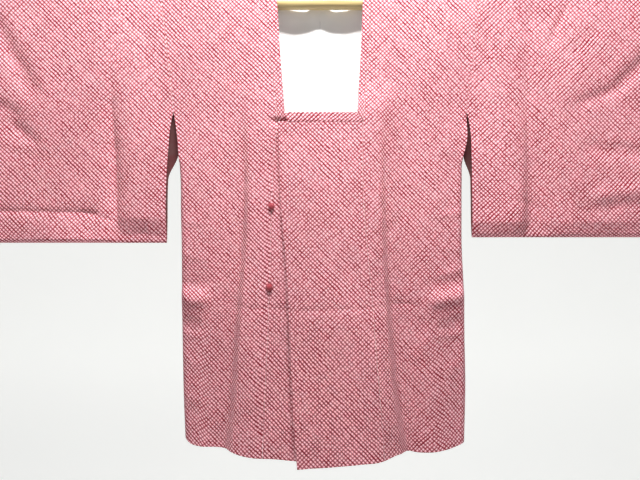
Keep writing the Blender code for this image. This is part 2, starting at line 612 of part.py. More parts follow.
def body_seams(grid):
    """Rows, column and axis of each seam of a body panel: middle of the back, neckband, side, and side vent
    with the armhole above it."""
    rows = len(grid)
    foot = len(FRONT_HEIGHTS) - FRONT_HEIGHTS.index(-VENT_FOOT)
    back_foot = rows - 1 - len(BACK_HEIGHTS) + BACK_HEIGHTS.index(-VENT_FOOT)
    return (
        (slice(0, rows), 0, 0),
        (slice(0, len(FRONT_HEIGHTS) + ARC_STEPS + 2), NECK_STEPS, 0),
        (slice(0, foot + 1), -1, 1),
        (slice(foot + 1, back_foot), -1, 0),
        (slice(back_foot, rows), -1, 1),
    )


def add_body(side, name, material):
    grid, cells = body_grid(side)
    mesh = wall_mesh(name, grid, cells, CLOTH, side is LEFT, seams=body_seams(grid))
    add_piece(name, mesh, material)


def add_sleeve(side, name, material):
    grid = sleeve_grid(side)
    foot = 4 + len(SLEEVE_RISES)
    rows = len(grid)
    seams = (
        (slice(1, rows - 1), 0, 0),
        (0, slice(0, grid.shape[1]), 1),
        (rows - 1, slice(0, grid.shape[1]), 1),
        (slice(0, foot + 1), -1, 1),
        (slice(rows - foot - 1, rows), -1, 1),
    )
    straight = np.linalg.norm(grid[1:, 1:] - grid[:-1, :-1], axis=-1)
    other = np.linalg.norm(grid[1:, :-1] - grid[:-1, 1:], axis=-1)
    add_panel(name, grid, CLOTH, material, flip=side is LEFT, seams=seams, turned=other < straight)


def add_panel(name, grid, thickness, material, **options):
    cells = np.ones((grid.shape[0] - 1, grid.shape[1] - 1), bool)
    add_piece(name, wall_mesh(name, grid, cells, thickness, **options), material)


def add_button(name, height, material):
    """The dome of a small knotted button, flat where it lies on the seam of the under front."""
    out = along(RIGHT.band_seam, height)
    level = sunk(RIGHT, out, height)
    seat = -band_depth(RIGHT, out, height) - 2 * SEAM_GAP
    rings, sides = np.radians((0.0, 25.0, 50.0, 72.0)), 12
    turn = np.linspace(0, 2 * math.pi, sides, endpoint=False)
    points = [
        (
            -out + BUTTON_RADIUS * math.cos(a) * math.cos(t),
            seat - BUTTON_HEIGHT * math.sin(a),
            level + BUTTON_RADIUS * math.cos(a) * math.sin(t),
        )
        for a in rings
        for t in turn
    ]
    points.append((-out, seat - BUTTON_HEIGHT, level))
    faces = [tuple(range(sides - 1, -1, -1))]
    for r in range(len(rings) - 1):
        for i in range(sides):
            j = (i + 1) % sides
            faces.append((r * sides + i, r * sides + j, (r + 1) * sides + j, (r + 1) * sides + i))
    last = (len(rings) - 1) * sides
    faces += [(last + i, last + (i + 1) % sides, len(points) - 1) for i in range(sides)]
    mesh = bpy.data.meshes.new(name)
    mesh.from_pydata(points, [], faces)
    add_piece(name, mesh, material)


def main():
    for old in list(bpy.data.objects):
        bpy.data.objects.remove(old)
    silk = make_material("dyed_silk", (0.72, 0.30, 0.36), 0.75)
    white = make_material("white_silk", (0.90, 0.88, 0.86), 0.5)
    bamboo = make_material("rod_tan", (0.72, 0.60, 0.30), 0.4)
    red = make_material("red_cord", (0.60, 0.08, 0.12), 0.6)

    add_rod(bamboo)
    for side, word, layer in ((LEFT, "left", "outer"), (RIGHT, "right", "under")):
        add_body(side, "body_" + word, silk)
        add_sleeve(side, "sleeve_" + word, silk)
        front = dict(facing=(0, -1, 0), flip=side is LEFT)
        add_panel("front_band_" + layer, front_band(side), CLOTH, silk, **front)
        add_panel("neckband_" + layer, neckband_run(side), BAND_CLOTH, silk, **front)
        grid = neckband_side(side)
        square = ((slice(0, len(grid)), slice(0, 4), 0), (0, slice(0, 4), 2))
        add_panel("neckband_" + word, grid, BAND_CLOTH, silk, flip=side is LEFT, seams=square)
        name = "back_lining_" + word
        grid, cells = back_lining(side)
        add_piece(name, wall_mesh(name, grid, cells, LINING, side is LEFT, facing=(0, 1, 0)), white)
    add_panel("neckband_back", neckband_back(), BAND_CLOTH, silk, facing=(0, 1, 0))
    for name, height in zip(("button_upper", "button_lower"), BUTTON_HEIGHTS):
        add_button(name, height, red)


main()
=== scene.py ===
"""Looks for a michiyuki coat of tie-dyed silk that hangs flat on a round rod.

Metres, +Z up, +X towards the wearer's left side (the lapped-over front), -Y out of the coat's
front. The origin is the middle of the rod. Each cloth piece is a grid of points on its outer face,
worked out from the tables below, and the same grid moved inwards by the thickness of the cloth.
"""

import json
import math
from collections import namedtuple

import bmesh
import bpy
import numpy as np
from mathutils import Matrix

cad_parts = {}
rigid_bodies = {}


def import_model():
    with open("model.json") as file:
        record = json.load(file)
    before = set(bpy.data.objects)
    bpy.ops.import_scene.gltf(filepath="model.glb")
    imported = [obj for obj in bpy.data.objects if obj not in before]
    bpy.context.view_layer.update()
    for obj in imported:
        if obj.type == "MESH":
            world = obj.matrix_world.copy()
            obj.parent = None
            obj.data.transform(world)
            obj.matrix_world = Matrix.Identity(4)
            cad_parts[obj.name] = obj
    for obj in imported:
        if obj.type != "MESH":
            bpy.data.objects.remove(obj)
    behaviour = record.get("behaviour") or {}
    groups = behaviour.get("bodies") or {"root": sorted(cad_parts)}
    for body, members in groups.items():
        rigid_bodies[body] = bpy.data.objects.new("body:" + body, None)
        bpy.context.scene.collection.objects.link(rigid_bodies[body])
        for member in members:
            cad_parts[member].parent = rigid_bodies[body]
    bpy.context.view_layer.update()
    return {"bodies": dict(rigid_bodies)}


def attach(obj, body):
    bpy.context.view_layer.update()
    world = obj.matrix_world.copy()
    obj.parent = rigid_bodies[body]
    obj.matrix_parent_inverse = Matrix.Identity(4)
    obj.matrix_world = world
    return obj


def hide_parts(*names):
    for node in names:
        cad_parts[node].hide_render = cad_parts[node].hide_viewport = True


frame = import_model()

bl_info = {
    "name": "Michiyuki Coat",
    "version": (1, 0, 0),
    "blender": (4, 5, 0),
    "location": "View3D > Sidebar > Coat",
    "description": "Builds a silk kimono coat and the rod that it hangs on",
    "category": "Add Mesh",
}

# Dimensions shared by all the pieces
ROD_RADIUS = 0.0125
ROD_LENGTH = 1.42
ROD_ROUND = 0.003  # rounding of its ends
ROD_HUB = 0.006  # radius of the inmost ring on an end
SEAM_GAP = 0.0003
MITRE_GAP = 0.0005
LEAN_START = 0.14  # below this depth the band's rows beside the neck lean towards the mitre
SHOULDER_RADIUS = 0.0151  # outer face of the cloth where it goes over the rod
NECK_DEPTH = 0.2189
BAND_WIDTH = 0.0175
BAND_FOOT = NECK_DEPTH + BAND_WIDTH
BAND_STAND = 0.001  # how far the neckband stands out from the cloth
ARMHOLE_DEPTH = 0.2126
BACK_NECK_DROP = 0.03
BACK_NECK_LEAN = 0.009  # how far the back leans away from the rod at its neck
BACK_FOLD = 0.0035  # height of the soft folds at the hem of the back
BACK_HEM = -0.8565
BACK_BAND_TOP = 0.0065
LINING_TOP = 0.010
LINING_RISE = 0.02  # how far the lining stands above the back neck seam
LINING_FOOT = -0.725
LINING_MARGIN = 0.012
SLEEVE_END = 0.655
CUFF_OPENING = 0.23
SLEEVE_CORNER = 0.025
SLEEVE_ROUND = 0.0085
VENT_FOOT = 0.318
VENT_ROUND = 0.033  # height over which the side closes above it
PLEAT_APPROACH = 0.022
PLEAT_SOFT = 0.015  # points nearer to a pleat's line than this spread with its width
PLEAT_SWELL = 0.07  # how far from a pleat the cloth in front of it settles
PLEAT_HOLLOW = 0.045  # and the cloth behind it
HOLLOW_FADE = 0.03  # which ends over this width beside the coat's side
LAP_HEIGHT = 0.0115
PRESS_EDGE = 0.0008  # rounding on a pressed fold's line
PRESS_WIDTH = 0.016
PRESS_TURN = 0.013  # half the width of the step at a sleeve's pressed line
PRESS_REACH = 0.06
PRESS_ZONE = 0.014  # finer columns on both sides of that line
SLEEVE_PINCH = 0.045  # how far from the body a sleeve fills out
WAIST = (-0.615, -0.555)  # finer rows between these heights
HEM_FACING = 0.80  # below this height the inside of the body is dyed silk
CUFF_FACING = 0.03
# Width beside a sleeve's open inner edge, and columns at the body's vent, whose inner face is dusky
# silk: painted shade for the shadow seen through those openings
SLEEVE_SHADE_WIDTH = 0.02
VENT_SHADE_COLUMNS = 15  # columns
BAND_FACING = (12, 9)  # rows at the hem and columns at the free edge
FIGURE_PITCH = 0.034  # of the diamonds woven into the lining
BUTTON_RADIUS = 0.0065
BUTTON_HEIGHT = 0.0072
BUTTON_HEIGHTS = (-0.397, -0.5425)
CORD = 0.00125  # radius of the buttons' cord
CORE_RADIUS = 0.0048  # of the dome inside the knot
CORE_HEIGHT = 0.0056

# The lines of each side of the coat: distances from the middle at heights below the rod, and the
# height of the hem at distances from the middle. Past the middle, out to the front band's free
# edge, they are negative. furi is a sleeve's open inner edge, press the line pressed into it, and
# turned how far its foot turns in, at distances from the middle.
Line = namedtuple("Line", "heights distances")
Hem = namedtuple("Hem", "distances heights")
Side = namedtuple(
    "Side",
    "sign edge pleat pleat_rise pleat_width band_seam free_edge furi sleeve_bottom hem neck_edge"
    " band_end press press_rise press_step press_fade turned turned_height",
)

LEFT = Side(
    sign=1,
    edge=Line(
        (
            0.0, -0.07, -0.14, -0.2126, -0.2364, -0.26, -0.275, -0.30, -0.35, -0.41, -0.464, -0.57,
            -0.66, -0.74, -0.8582,
        ),
        (
            0.3095, 0.3030, 0.2945, 0.2866, 0.2872, 0.2882, 0.2862, 0.2800, 0.2780, 0.2777, 0.2777,
            0.2823, 0.2834, 0.2850, 0.2825,
        ),
    ),
    pleat=Line(
        (0.0, -0.27, -0.443, -0.536, -0.629, -0.72, -0.775, -0.845, -0.87),
        (0.128, 0.1213, 0.1222, 0.1270, 0.1340, 0.1410, 0.1480, 0.1590, 0.1620),
    ),
    pleat_rise=Line(
        (-0.18, -0.32, -0.50, -0.65, -0.80, -0.88),
        (0.0, 0.0034, 0.0072, 0.0108, 0.0146, 0.0162),
    ),
    pleat_width=Line((-0.30, -0.60, -0.72, -0.88), (0.80, 0.90, 1.1, 1.5)),
    band_seam=Line(
        (0.0, -0.0856, -0.1487, -BAND_FOOT, -0.38, -0.473, -0.566, -0.651, -0.742, -0.863),
        (0.1000, 0.0962, 0.0902, 0.0830, 0.0824, 0.0894, 0.0985, 0.1047, 0.1122, 0.1210),
    ),
    free_edge=Line(
        (-0.22, -0.317, -0.403, -0.504, -0.611, -0.687, -0.763, -0.8582),
        (-0.0810, -0.0782, -0.0742, -0.0644, -0.0584, -0.0544, -0.0505, -0.0427),
    ),
    furi=Line((-0.2126, -0.2364, -0.30, -0.354, -0.459), (0.2868, 0.2920, 0.2955, 0.2964, 0.2978)),
    sleeve_bottom=-0.459,
    hem=Hem(
        (
            -0.0427, -0.0278, 0.0185, 0.0745, 0.121, 0.1317, 0.1461, 0.1605, 0.1921, 0.2217,
            0.2523, 0.2825,
        ),
        (
            -0.8918, -0.8906, -0.8872, -0.8818, -0.8759, -0.8723, -0.8680, -0.8680, -0.8749,
            -0.8746, -0.8686, -0.8582,
        ),
    ),
    neck_edge=Line((0.0, -0.10, -NECK_DEPTH), (0.0832, 0.0790, 0.0716)),
    band_end=-0.064,
    press=Line((0.0, -0.1019, -0.2200, -0.3555, -0.4329), (0.4118, 0.4030, 0.4040, 0.4060, 0.4040)),
    press_rise=Line((0.0, -0.10, -0.20, -0.30, -0.46), (0.0030, 0.0030, 0.0060, 0.0064, 0.0056)),
    press_step=Line((-0.20, -0.30, -0.36, -0.40, -0.46), (0.0, 0.0040, 0.0066, 0.0082, 0.0082)),
    press_fade=0.045,
    turned=Line((0.285, 0.41, 0.43, 0.60, 0.65), (0.0085, 0.0085, 0.0065, 0.0080, 0.0010)),
    turned_height=0.031,
)
RIGHT = Side(
    sign=-1,
    edge=Line(
        (
            0.0, -0.07, -0.14, -0.2126, -0.2364, -0.26, -0.30, -0.35, -0.41, -0.464, -0.58, -0.70,
            -0.78, -0.8503,
        ),
        (
            0.3085, 0.3005, 0.2930, 0.2864, 0.2830, 0.2798, 0.2764, 0.2734, 0.2728, 0.2715, 0.2707,
            0.2687, 0.2668, 0.2638,
        ),
    ),
    pleat=Line(
        (0.0, -0.237, -0.339, -0.425, -0.536, -0.613, -0.682, -0.753, -0.853),
        (0.150, 0.1445, 0.1420, 0.1438, 0.1508, 0.1570, 0.1615, 0.1667, 0.1767),
    ),
    pleat_rise=Line(
        (-0.15, -0.24, -0.36, -0.50, -0.65, -0.88),
        (0.0, 0.0022, 0.0062, 0.0076, 0.0088, 0.0094),
    ),
    pleat_width=Line((-0.30, -0.60, -0.72, -0.88), (0.85, 0.95, 1.05, 1.1)),
    band_seam=Line(
        (0.0, -0.0856, -0.1487, -BAND_FOOT, -0.30, -0.410, -0.504, -0.651, -0.743, -0.856),
        (0.1035, 0.0990, 0.0925, 0.0830, 0.0885, 0.0932, 0.0954, 0.1002, 0.1046, 0.1089),
    ),
    free_edge=Line((-0.22, -0.50, -0.8503), (-0.0740, -0.0680, -0.0550)),
    furi=Line(
        (-0.2126, -0.2364, -0.297, -0.354, -0.4698), (0.2866, 0.2915, 0.2964, 0.2997, 0.3005),
    ),
    sleeve_bottom=-0.4698,
    hem=Hem(
        (
            -0.055, 0.0, 0.0524, 0.0843, 0.1089, 0.1223, 0.1513, 0.1767, 0.2022, 0.2323, 0.2530,
            0.2638,
        ),
        (
            -0.880, -0.880, -0.8785, -0.8763, -0.8762, -0.8761, -0.8724, -0.8658, -0.8644, -0.8646,
            -0.8590, -0.8503,
        ),
    ),
    neck_edge=Line((0.0, -0.10, -NECK_DEPTH), (0.0834, 0.0770, 0.0680)),
    band_end=-0.0735,
    press=Line(
        (0.0, -0.124, -0.20, -0.25, -0.40, -0.47), (0.4100, 0.4080, 0.4060, 0.4035, 0.3985, 0.3960),
    ),
    press_rise=Line((0.0, -0.15, -0.21, -0.30, -0.47), (0.0012, 0.0020, 0.0074, 0.0116, 0.0114)),
    press_step=Line((0.0, -0.46), (0.0, 0.0)),
    press_fade=0.016,
    turned=Line((0.285, 0.385, 0.398, 0.60, 0.65), (0.0098, 0.0092, 0.0030, 0.0034, 0.0010)),
    turned_height=0.050,
)

# How far the cloth stands out from the plane of the rod, at heights below it.
FRONT_MIDDLE = Line(
    (0.0, -0.10, -0.236, -0.35, -0.45, -0.576, -0.70, -0.80, -0.89),
    (SHOULDER_RADIUS, 0.0185, 0.0265, 0.032, 0.038, 0.048, 0.058, 0.066, 0.070),
)
BACK_MIDDLE = Line(
    (0.0, -0.03, -0.10, -0.22, -0.50, -0.86),
    (SHOULDER_RADIUS, 0.0165, 0.018, 0.020, 0.023, 0.026),
)
SIDE_ROUND = Line(
    (0.0, -0.10, -0.18, -0.2126, -0.26, -0.32, -0.45, -0.87),
    (SHOULDER_RADIUS, 0.0115, 0.0062, 0.0044, 0.0062, 0.0095, 0.012, 0.014),
)
SLEEVE_BULGE = Line(
    (0.0, -0.10, -0.25, -0.38, -0.47),
    (SHOULDER_RADIUS, 0.0145, 0.0140, 0.0135, 0.0130),
)
# Soft waves of the back just under its neck, and at its very top, by distance from the middle
NECK_WAVES = Line(
    (-0.12, -0.082, -0.052, -0.026, 0.0, 0.022, 0.045, 0.066, 0.082, 0.12),
    (0.0, 0.0042, 0.0066, 0.0030, -0.0022, 0.0022, 0.0036, 0.0030, 0.0022, 0.0),
)
TOP_WAVES = Line(
    (-0.12, -0.078, -0.068, -0.045, -0.026, -0.016, 0.0, 0.014, 0.026, 0.048, 0.066, 0.078, 0.12),
    (
        0.0, -0.0020, 0.0, 0.0003, -0.0008, -0.0046, -0.0054, -0.0046, -0.0006, 0.0006, 0.0,
        -0.0022, 0.0,
    ),
)

# Folds: from one point of the front view to another, how wide, and how far out or in (-). Soft
# ones are bell curves across their line, and pressed ones come to an edge.
Crease = namedtuple("Crease", "x0 z0 x1 z1 width rise")


def creases(*rows):
    """A table of folds from rows of plain numbers."""
    return tuple(Crease(*row) for row in rows)


BODY_CREASES = creases(
    (-0.29, -0.5785, -0.236, -0.5725, 0.0175, 0.0120),
    (-0.29, -0.6040, -0.240, -0.6000, 0.0160, 0.0045),
    (-0.29, -0.5480, -0.236, -0.5440, 0.0130, -0.0030),
    (0.29, -0.5715, 0.234, -0.5730, 0.0175, 0.0116),
    (0.29, -0.6000, 0.240, -0.6020, 0.0160, 0.0042),
    (0.29, -0.5450, 0.236, -0.5470, 0.0120, -0.0020),
    (-0.29, -0.425, -0.243, -0.429, 0.0060, 0.0017),
    (-0.29, -0.487, -0.240, -0.493, 0.0065, 0.0017),
    (-0.28, -0.540, -0.240, -0.538, 0.0060, 0.0011),
    (-0.28, -0.645, -0.240, -0.641, 0.0065, 0.0015),
    (-0.28, -0.688, -0.243, -0.692, 0.0070, 0.0012),
    (-0.27, -0.770, -0.250, -0.764, 0.0100, 0.0012),
    (0.290, -0.287, 0.245, -0.292, 0.0060, 0.0016),
    (0.290, -0.4075, 0.243, -0.414, 0.0065, 0.0017),
    (0.290, -0.483, 0.250, -0.480, 0.0060, 0.0010),
    (0.290, -0.518, 0.240, -0.525, 0.0065, 0.0018),
    (0.290, -0.645, 0.240, -0.640, 0.0070, 0.0020),
    (0.285, -0.700, 0.250, -0.706, 0.0100, 0.0012),
    (0.139, -0.438, 0.156, -0.420, 0.0055, -0.0020),
    (0.050, -0.500, 0.095, -0.560, 0.0240, -0.0016),
    (0.150, -0.120, 0.190, -0.260, 0.016, -0.0012),
    (0.225, -0.050, 0.262, -0.200, 0.014, -0.0013),
    (-0.215, -0.060, -0.258, -0.205, 0.014, -0.0013),
    (-0.150, -0.110, -0.176, -0.250, 0.016, -0.0010),
    (0.010, -0.690, 0.060, -0.860, 0.018, 0.0012),
    (-0.030, -0.640, -0.012, -0.860, 0.015, -0.0012),
    (-0.205, -0.640, -0.218, -0.850, 0.018, 0.0014),
    (0.205, -0.650, 0.222, -0.850, 0.018, 0.0014),
)
BODY_PRESSES = creases(
    (-0.15, -0.5815, 0.17, -0.5820, 0.0065, -0.0018),
    (0.134, -0.450, 0.172, -0.5155, 0.0040, -0.0007),
    (0.2785, -0.262, 0.2735, -0.316, 0.0030, -0.0012),
)
UNDER_DENTS = creases((-0.082, -0.2345, -0.064, -0.2345, 0.0060, -0.0060))
BACK_CREASES = creases(
    (-0.28, -0.560, -0.230, -0.562, 0.010, 0.0020),
    (0.28, -0.562, 0.230, -0.560, 0.010, 0.0020),
    (-0.28, -0.640, -0.240, -0.648, 0.008, -0.0014),
    (0.28, -0.520, 0.240, -0.528, 0.008, -0.0014),
    (0.28, -0.424, 0.235, -0.430, 0.008, -0.0012),
    (-0.28, -0.450, -0.240, -0.446, 0.008, -0.0012),
    (-0.230, -0.050, -0.262, -0.200, 0.014, -0.0014),
    (0.235, -0.060, 0.262, -0.210, 0.014, -0.0014),
    (-0.120, -0.160, -0.160, -0.300, 0.018, -0.0012),
    (0.130, -0.150, 0.150, -0.310, 0.018, -0.0012),
    (-0.005, -0.2075, 0.055, -0.2095, 0.003, -0.0008),
)
BACK_PRESSES = creases(
    (-0.30, -0.5750, 0.30, -0.5765, 0.008, -0.0018),
    (-0.155, -0.30, -0.160, -0.84, 0.010, 0.0016),
    (0.150, -0.26, 0.158, -0.84, 0.010, 0.0016),
)
SLEEVE_CREASES = {
    1: creases(
        (0.4955, -0.0947, 0.5538, -0.0400, 0.012, -0.0014),
        (0.550, -0.377, 0.655, -0.362, 0.016, 0.0046),
        (0.535, -0.404, 0.650, -0.392, 0.012, -0.0015),
        (0.532, -0.289, 0.660, -0.299, 0.014, -0.0038),
        (0.518, -0.193, 0.560, -0.1775, 0.012, -0.0046),
        (0.588, -0.157, 0.670, -0.080, 0.0135, -0.0062),
        (0.590, -0.110, 0.640, -0.060, 0.012, 0.0010),
        (0.410, -0.395, 0.400, -0.392, 0.008, -0.0014),
        (0.340, -0.030, 0.318, -0.150, 0.016, -0.0013),
        (0.330, -0.290, 0.318, -0.430, 0.014, -0.0010),
        (0.430, -0.320, 0.500, -0.400, 0.018, -0.0012),
        (0.500, -0.220, 0.560, -0.300, 0.018, -0.0010),
    ),
    -1: creases(
        (-0.640, -0.365, -0.450, -0.375, 0.0750, -0.0042),
        (-0.6335, -0.0423, -0.5654, -0.1627, 0.0180, -0.0070),
        (-0.670, -0.177, -0.6030, -0.213, 0.0130, -0.0050),
        (-0.670, -0.215, -0.5950, -0.250, 0.0260, -0.0050),
        (-0.600, -0.240, -0.5580, -0.272, 0.0120, -0.0036),
        (-0.640, -0.285, -0.545, -0.305, 0.011, -0.0018),
        (-0.402, -0.290, -0.404, -0.370, 0.022, -0.0040),
        (-0.345, -0.040, -0.320, -0.160, 0.016, -0.0013),
        (-0.440, -0.020, -0.460, -0.130, 0.015, -0.0013),
        (-0.480, -0.180, -0.560, -0.260, 0.020, -0.0010),
    ),
}
SLEEVE_PRESSES = {
    1: creases(
        (0.4508, -0.0714, 0.4858, 0.0020, 0.006, -0.0042),
        (0.5246, -0.2735, 0.6400, -0.2870, 0.005, -0.0013),
    ),
    -1: creases(
        (-0.66, -0.4070, -0.455, -0.4110, 0.0105, -0.0046),
        (-0.455, -0.4110, -0.412, -0.4235, 0.0050, -0.0020),
    ),
}

# A pleat's section, from the cloth in front to the cloth behind: distances from its line, rises
PleatSection = namedtuple("PleatSection", "out rise")
PLEAT = PleatSection(
    out=(-PLEAT_APPROACH, -0.0085, -0.0045, -0.0018, 0.0018, 0.0045, 0.0080, 0.0120, 0.0220),
    rise=(1.00, 0.96, 0.74, 0.30, -0.30, -0.74, -0.98, -1.04, -1.00),
)

# Spacing of the grids
STEP = 0.0052
SIDE_STEP = 0.0044
FINE_STEP = 0.0022
PRESS_STEP = 0.0018
CORNER_STEP = 0.0026
SLEEVE_STEP = 0.0046
BAND_STEP = 0.004
BACK_STEP = 0.003
PLEAT_STEPS = 40
EDGE_STEPS = np.array((0.0, 0.0002, 0.0005, 0.0011))  # rows beside an edge, where it rounds off
EDGE_SHARES = np.array((0.35, 0.75, 0.94, 1.0))  # how much of the wall's thickness is there
ROUNDING = np.radians(np.arange(10.0, 91.0, 10.0))[None, :]
ARC_STEPS = 24
BOTH, START, END, NEITHER = (True, True), (True, False), (False, True), (False, False)

Weave = namedtuple("Weave", "size height seed")
BODY_WEAVE = (Weave(0.095, 0.0014, 3), Weave(0.036, 0.00060, 4), Weave(0.015, 0.00018, 5))


def along(line, at):
    """A smooth curve through a table: cubics whose slope at a row is that of its neighbours."""
    knots, values = (np.asarray(column, float) for column in line)
    if knots[0] > knots[-1]:
        knots, values = knots[::-1], values[::-1]
    slopes = np.gradient(values, knots)
    at = np.clip(at, knots[0], knots[-1])
    i = np.clip(np.searchsorted(knots, at, side="right") - 1, 0, len(knots) - 2)
    span = knots[i + 1] - knots[i]
    t = (at - knots[i]) / span
    rise = values[i + 1] - values[i]
    start, end = slopes[i] * span, slopes[i + 1] * span
    square, cube = 3 * rise - 2 * start - end, start + end - 2 * rise
    return values[i] + t * start + t**2 * square + t**3 * cube


def xyz(x, y, z):
    """Points whose coordinates are these arrays, spread to one shape."""
    return np.stack(np.broadcast_arrays(x, y, z), axis=-1)


def ramp(at, start, end):
    """0 at start, 1 at end, with an S-shaped curve between."""
    t = np.clip((at - start) / (end - start), 0, 1)
    return t * t * (3 - 2 * t)


def spread(start, end, edges=BOTH, step=STEP, count=None):
    """Columns from start to end: a few close together beside the edges named, the rest even."""
    start, end = np.atleast_2d(start) + 0.0, np.atleast_2d(end) + 0.0
    way = np.sign(np.mean(end - start))
    first, last = edges
    low = start + way * EDGE_STEPS[-1] * first
    high = end - way * EDGE_STEPS[-1] * last
    count = count or max(2, int(np.ceil(np.max(np.abs(high - low)) / step)) + 1)
    parts = [low + (high - low) * np.linspace(0, 1, count)[None, :]]
    if first:
        parts.insert(0, start + way * EDGE_STEPS[None, :-1])
    if last:
        parts.append(end - way * EDGE_STEPS[None, -2::-1])
    return np.hstack(parts)


def rows(*keys, edges=BOTH, step=STEP):
    """A column of heights that meets each key height, close together beside the edges named.

    step may be a tuple with a value for each stretch between two keys.
    """
    steps = step if isinstance(step, tuple) else (step,) * (len(keys) - 1)
    parts = []
    for n, spacing in enumerate(steps):
        here = (edges[0] and n == 0, edges[1] and n == len(steps) - 1)
        parts.append(spread(keys[n], keys[n + 1], here, spacing)[0, min(n, 1) :])
    return np.concatenate(parts)[:, None]


def pressed(across, width):
    """1 on a pressed fold's line, falling to both sides from a slightly rounded edge."""
    return np.exp(-(np.sqrt(across**2 + PRESS_EDGE**2) - PRESS_EDGE) / (0.75 * width))


def soft(across, width):
    """A bell curve: 1 on the line, and nearly 0 at twice the width."""
    return np.exp(-((across / width) ** 2))


def crease_rise(lines, x, z, profile=soft):
    """The sum of ridges and troughs: a profile across each line, which fades past its ends."""
    total = np.zeros(np.broadcast(x, z).shape)
    for c in lines:
        dx, dz = c.x1 - c.x0, c.z1 - c.z0
        run = math.hypot(dx, dz)
        lengthwise = ((x - c.x0) * dx + (z - c.z0) * dz) / run
        beyond = np.maximum(0, np.maximum(-lengthwise, lengthwise - run))
        across = ((x - c.x0) * dz - (z - c.z0) * dx) / run
        fade = soft(beyond, min(2 * c.width + 0.006, 0.022))
        total = total + c.rise * profile(across, c.width) * fade
    return total


def soft_noise(x, z, weave, stretch=1.6):
    """Random heights on a lattice, blended with S-curves, longer down the cloth than across it."""
    table = np.random.default_rng(weave.seed).uniform(-1, 1, (64, 64))
    u, v = x / weave.size + 400.3, z / (weave.size * stretch) + 400.7
    i, j = np.floor(u).astype(int), np.floor(v).astype(int)
    a, b = ((f * f * (3 - 2 * f)) for f in (u - i, v - j))
    low = table[i % 64, j % 64] * (1 - a) + table[(i + 1) % 64, j % 64] * a
    high = table[i % 64, (j + 1) % 64] * (1 - a) + table[(i + 1) % 64, (j + 1) % 64] * a
    return weave.height * (low * (1 - b) + high * b)


def unevenness(x, z, layer):
    """How far hanging cloth is from smooth: several sizes of soft noise, new for each layer."""
    total = sum(soft_noise(x, z, w._replace(seed=w.seed + 10 * layer)) for w in BODY_WEAVE)
    return bpy.context.scene.coat_cloth.unevenness * total


def fullness(side, out, z):
    """1 over the middle of the body and 0 where its rounded side begins."""
    reach = along(side.edge, z) - along(SIDE_ROUND, z)
    share = np.clip(np.abs(out) / reach, 0, 1)
    return (1 - share**2) ** 1.2


def settled(z):
    """0 on the rod and 1 a little below it, where folds begin."""
    return ramp(z, -0.012, -0.05)


def lap(out, z):
    """How far the lapped-over front stands clear of the one beneath it."""
    return LAP_HEIGHT * ramp(z, -0.15, -NECK_DEPTH) * ramp(out, 0.165, 0.095)


def front_depth(side, out, z):
    """Depth of one side's front without its pleat.

    out is the distance from the middle, negative past it.
    """
    low, full = along(SIDE_ROUND, z), along(FRONT_MIDDLE, z)
    depth = low + (full - low) * fullness(side, out, z)
    x = side.sign * out
    depth = depth + (lap(out, z) if side is LEFT else crease_rise(UNDER_DENTS, x, z))
    folds = crease_rise(BODY_CREASES, x, z) + crease_rise(BODY_PRESSES, x, z, pressed)
    return depth + settled(z) * (folds + unevenness(x, z, 0 if side is LEFT else 1))


def inner_swell(side, out, z):
    """The cloth in front of a pleat stands out, and settles back towards the middle."""
    away = np.maximum(0, along(side.pleat, z) - PLEAT_APPROACH - out)
    return along(side.pleat_rise, z) * soft(away, PLEAT_SWELL)


def band_depth(side, out, z):
    """Depth of a front band or neckband, one surface with the panel that it is sewn to."""
    return front_depth(side, out, z) + inner_swell(side, out, z)


def back_depth(side, out, z):
    """Depth of the back: the neck leans away from the rod, and soft folds grow to the hem."""
    low, full = along(SIDE_ROUND, z), along(BACK_MIDDLE, z)
    share = fullness(side, out, z)
    x = side.sign * out
    neck = BACK_NECK_LEAN * np.clip(1 - (out / 0.088) ** 2, 0, 1) * ramp(z, -0.09, -0.008)
    neck = neck + along(NECK_WAVES, x) * ramp(z, -0.012, -0.045) * ramp(z, -0.16, -0.07)
    neck = neck + along(TOP_WAVES, x) * ramp(z, -0.045, -0.014) * ramp(np.abs(x), 0.11, 0.08)
    folds = BACK_FOLD * np.cos(out * 36 + 0.6 * side.sign) * ramp(z, -0.35, -0.80)
    fine = crease_rise(BACK_CREASES, x, z) + crease_rise(BACK_PRESSES, x, z, pressed)
    fine = settled(z) * (fine + unevenness(x, z, 2))
    return low + (full - low + folds) * share + neck + fine * np.clip(share * 4, 0.25, 1)


def rounded(values, count):
    """A quadratic B-spline along a row of control values, from the first to the last."""
    before, after = 2 * values[:, :1] - values[:, 1:2], 2 * values[:, -1:] - values[:, -2:-1]
    values = np.concatenate((before, values, after), 1)
    t = np.linspace(1.0, values.shape[1] - 2.0, count)
    i = np.clip(np.floor(t - 0.5).astype(int), 0, values.shape[1] - 3)
    t = t - 0.5 - i
    weights = ((1 - t) ** 2 / 2, 0.5 + t - t * t, t * t / 2)
    return sum(w[None, :] * values[:, i + n] for n, w in enumerate(weights))


def pleat_section(side, z):
    """Distances from the middle and rises of a pleat's points, a row for each height."""
    point = PleatSection(*np.array(PLEAT)[:, None, :])
    spread_out = point.out * np.where(np.abs(point.out) < PLEAT_SOFT, along(side.pleat_width, z), 1)
    rise = rounded(point.rise + 0 * z, PLEAT_STEPS)
    return rounded(along(side.pleat, z) + spread_out, PLEAT_STEPS), along(side.pleat_rise, z) * rise


def sunk(side, out, z):
    """Rows sink towards the hem line, which is lowest at the middle of the front."""
    level = side.edge.heights[-1]
    return z + (along(side.hem, out) - level) * ramp(z, -0.30, level)


def back_sunk(side, out, z):
    """Back rows run from the foot of the side seam to one hem level at the middle."""
    level = side.edge.heights[-1]
    from_side = 1 - ramp(out, 0, along(side.edge, level))
    return z + (BACK_HEM - level) * ramp(z, -0.30, level) * from_side


def front_points(side, out, depth, z):
    """A front's points: distances to its own side, depths towards the viewer, rows sunk."""
    return xyz(side.sign * out, -depth, sunk(side, out, z))


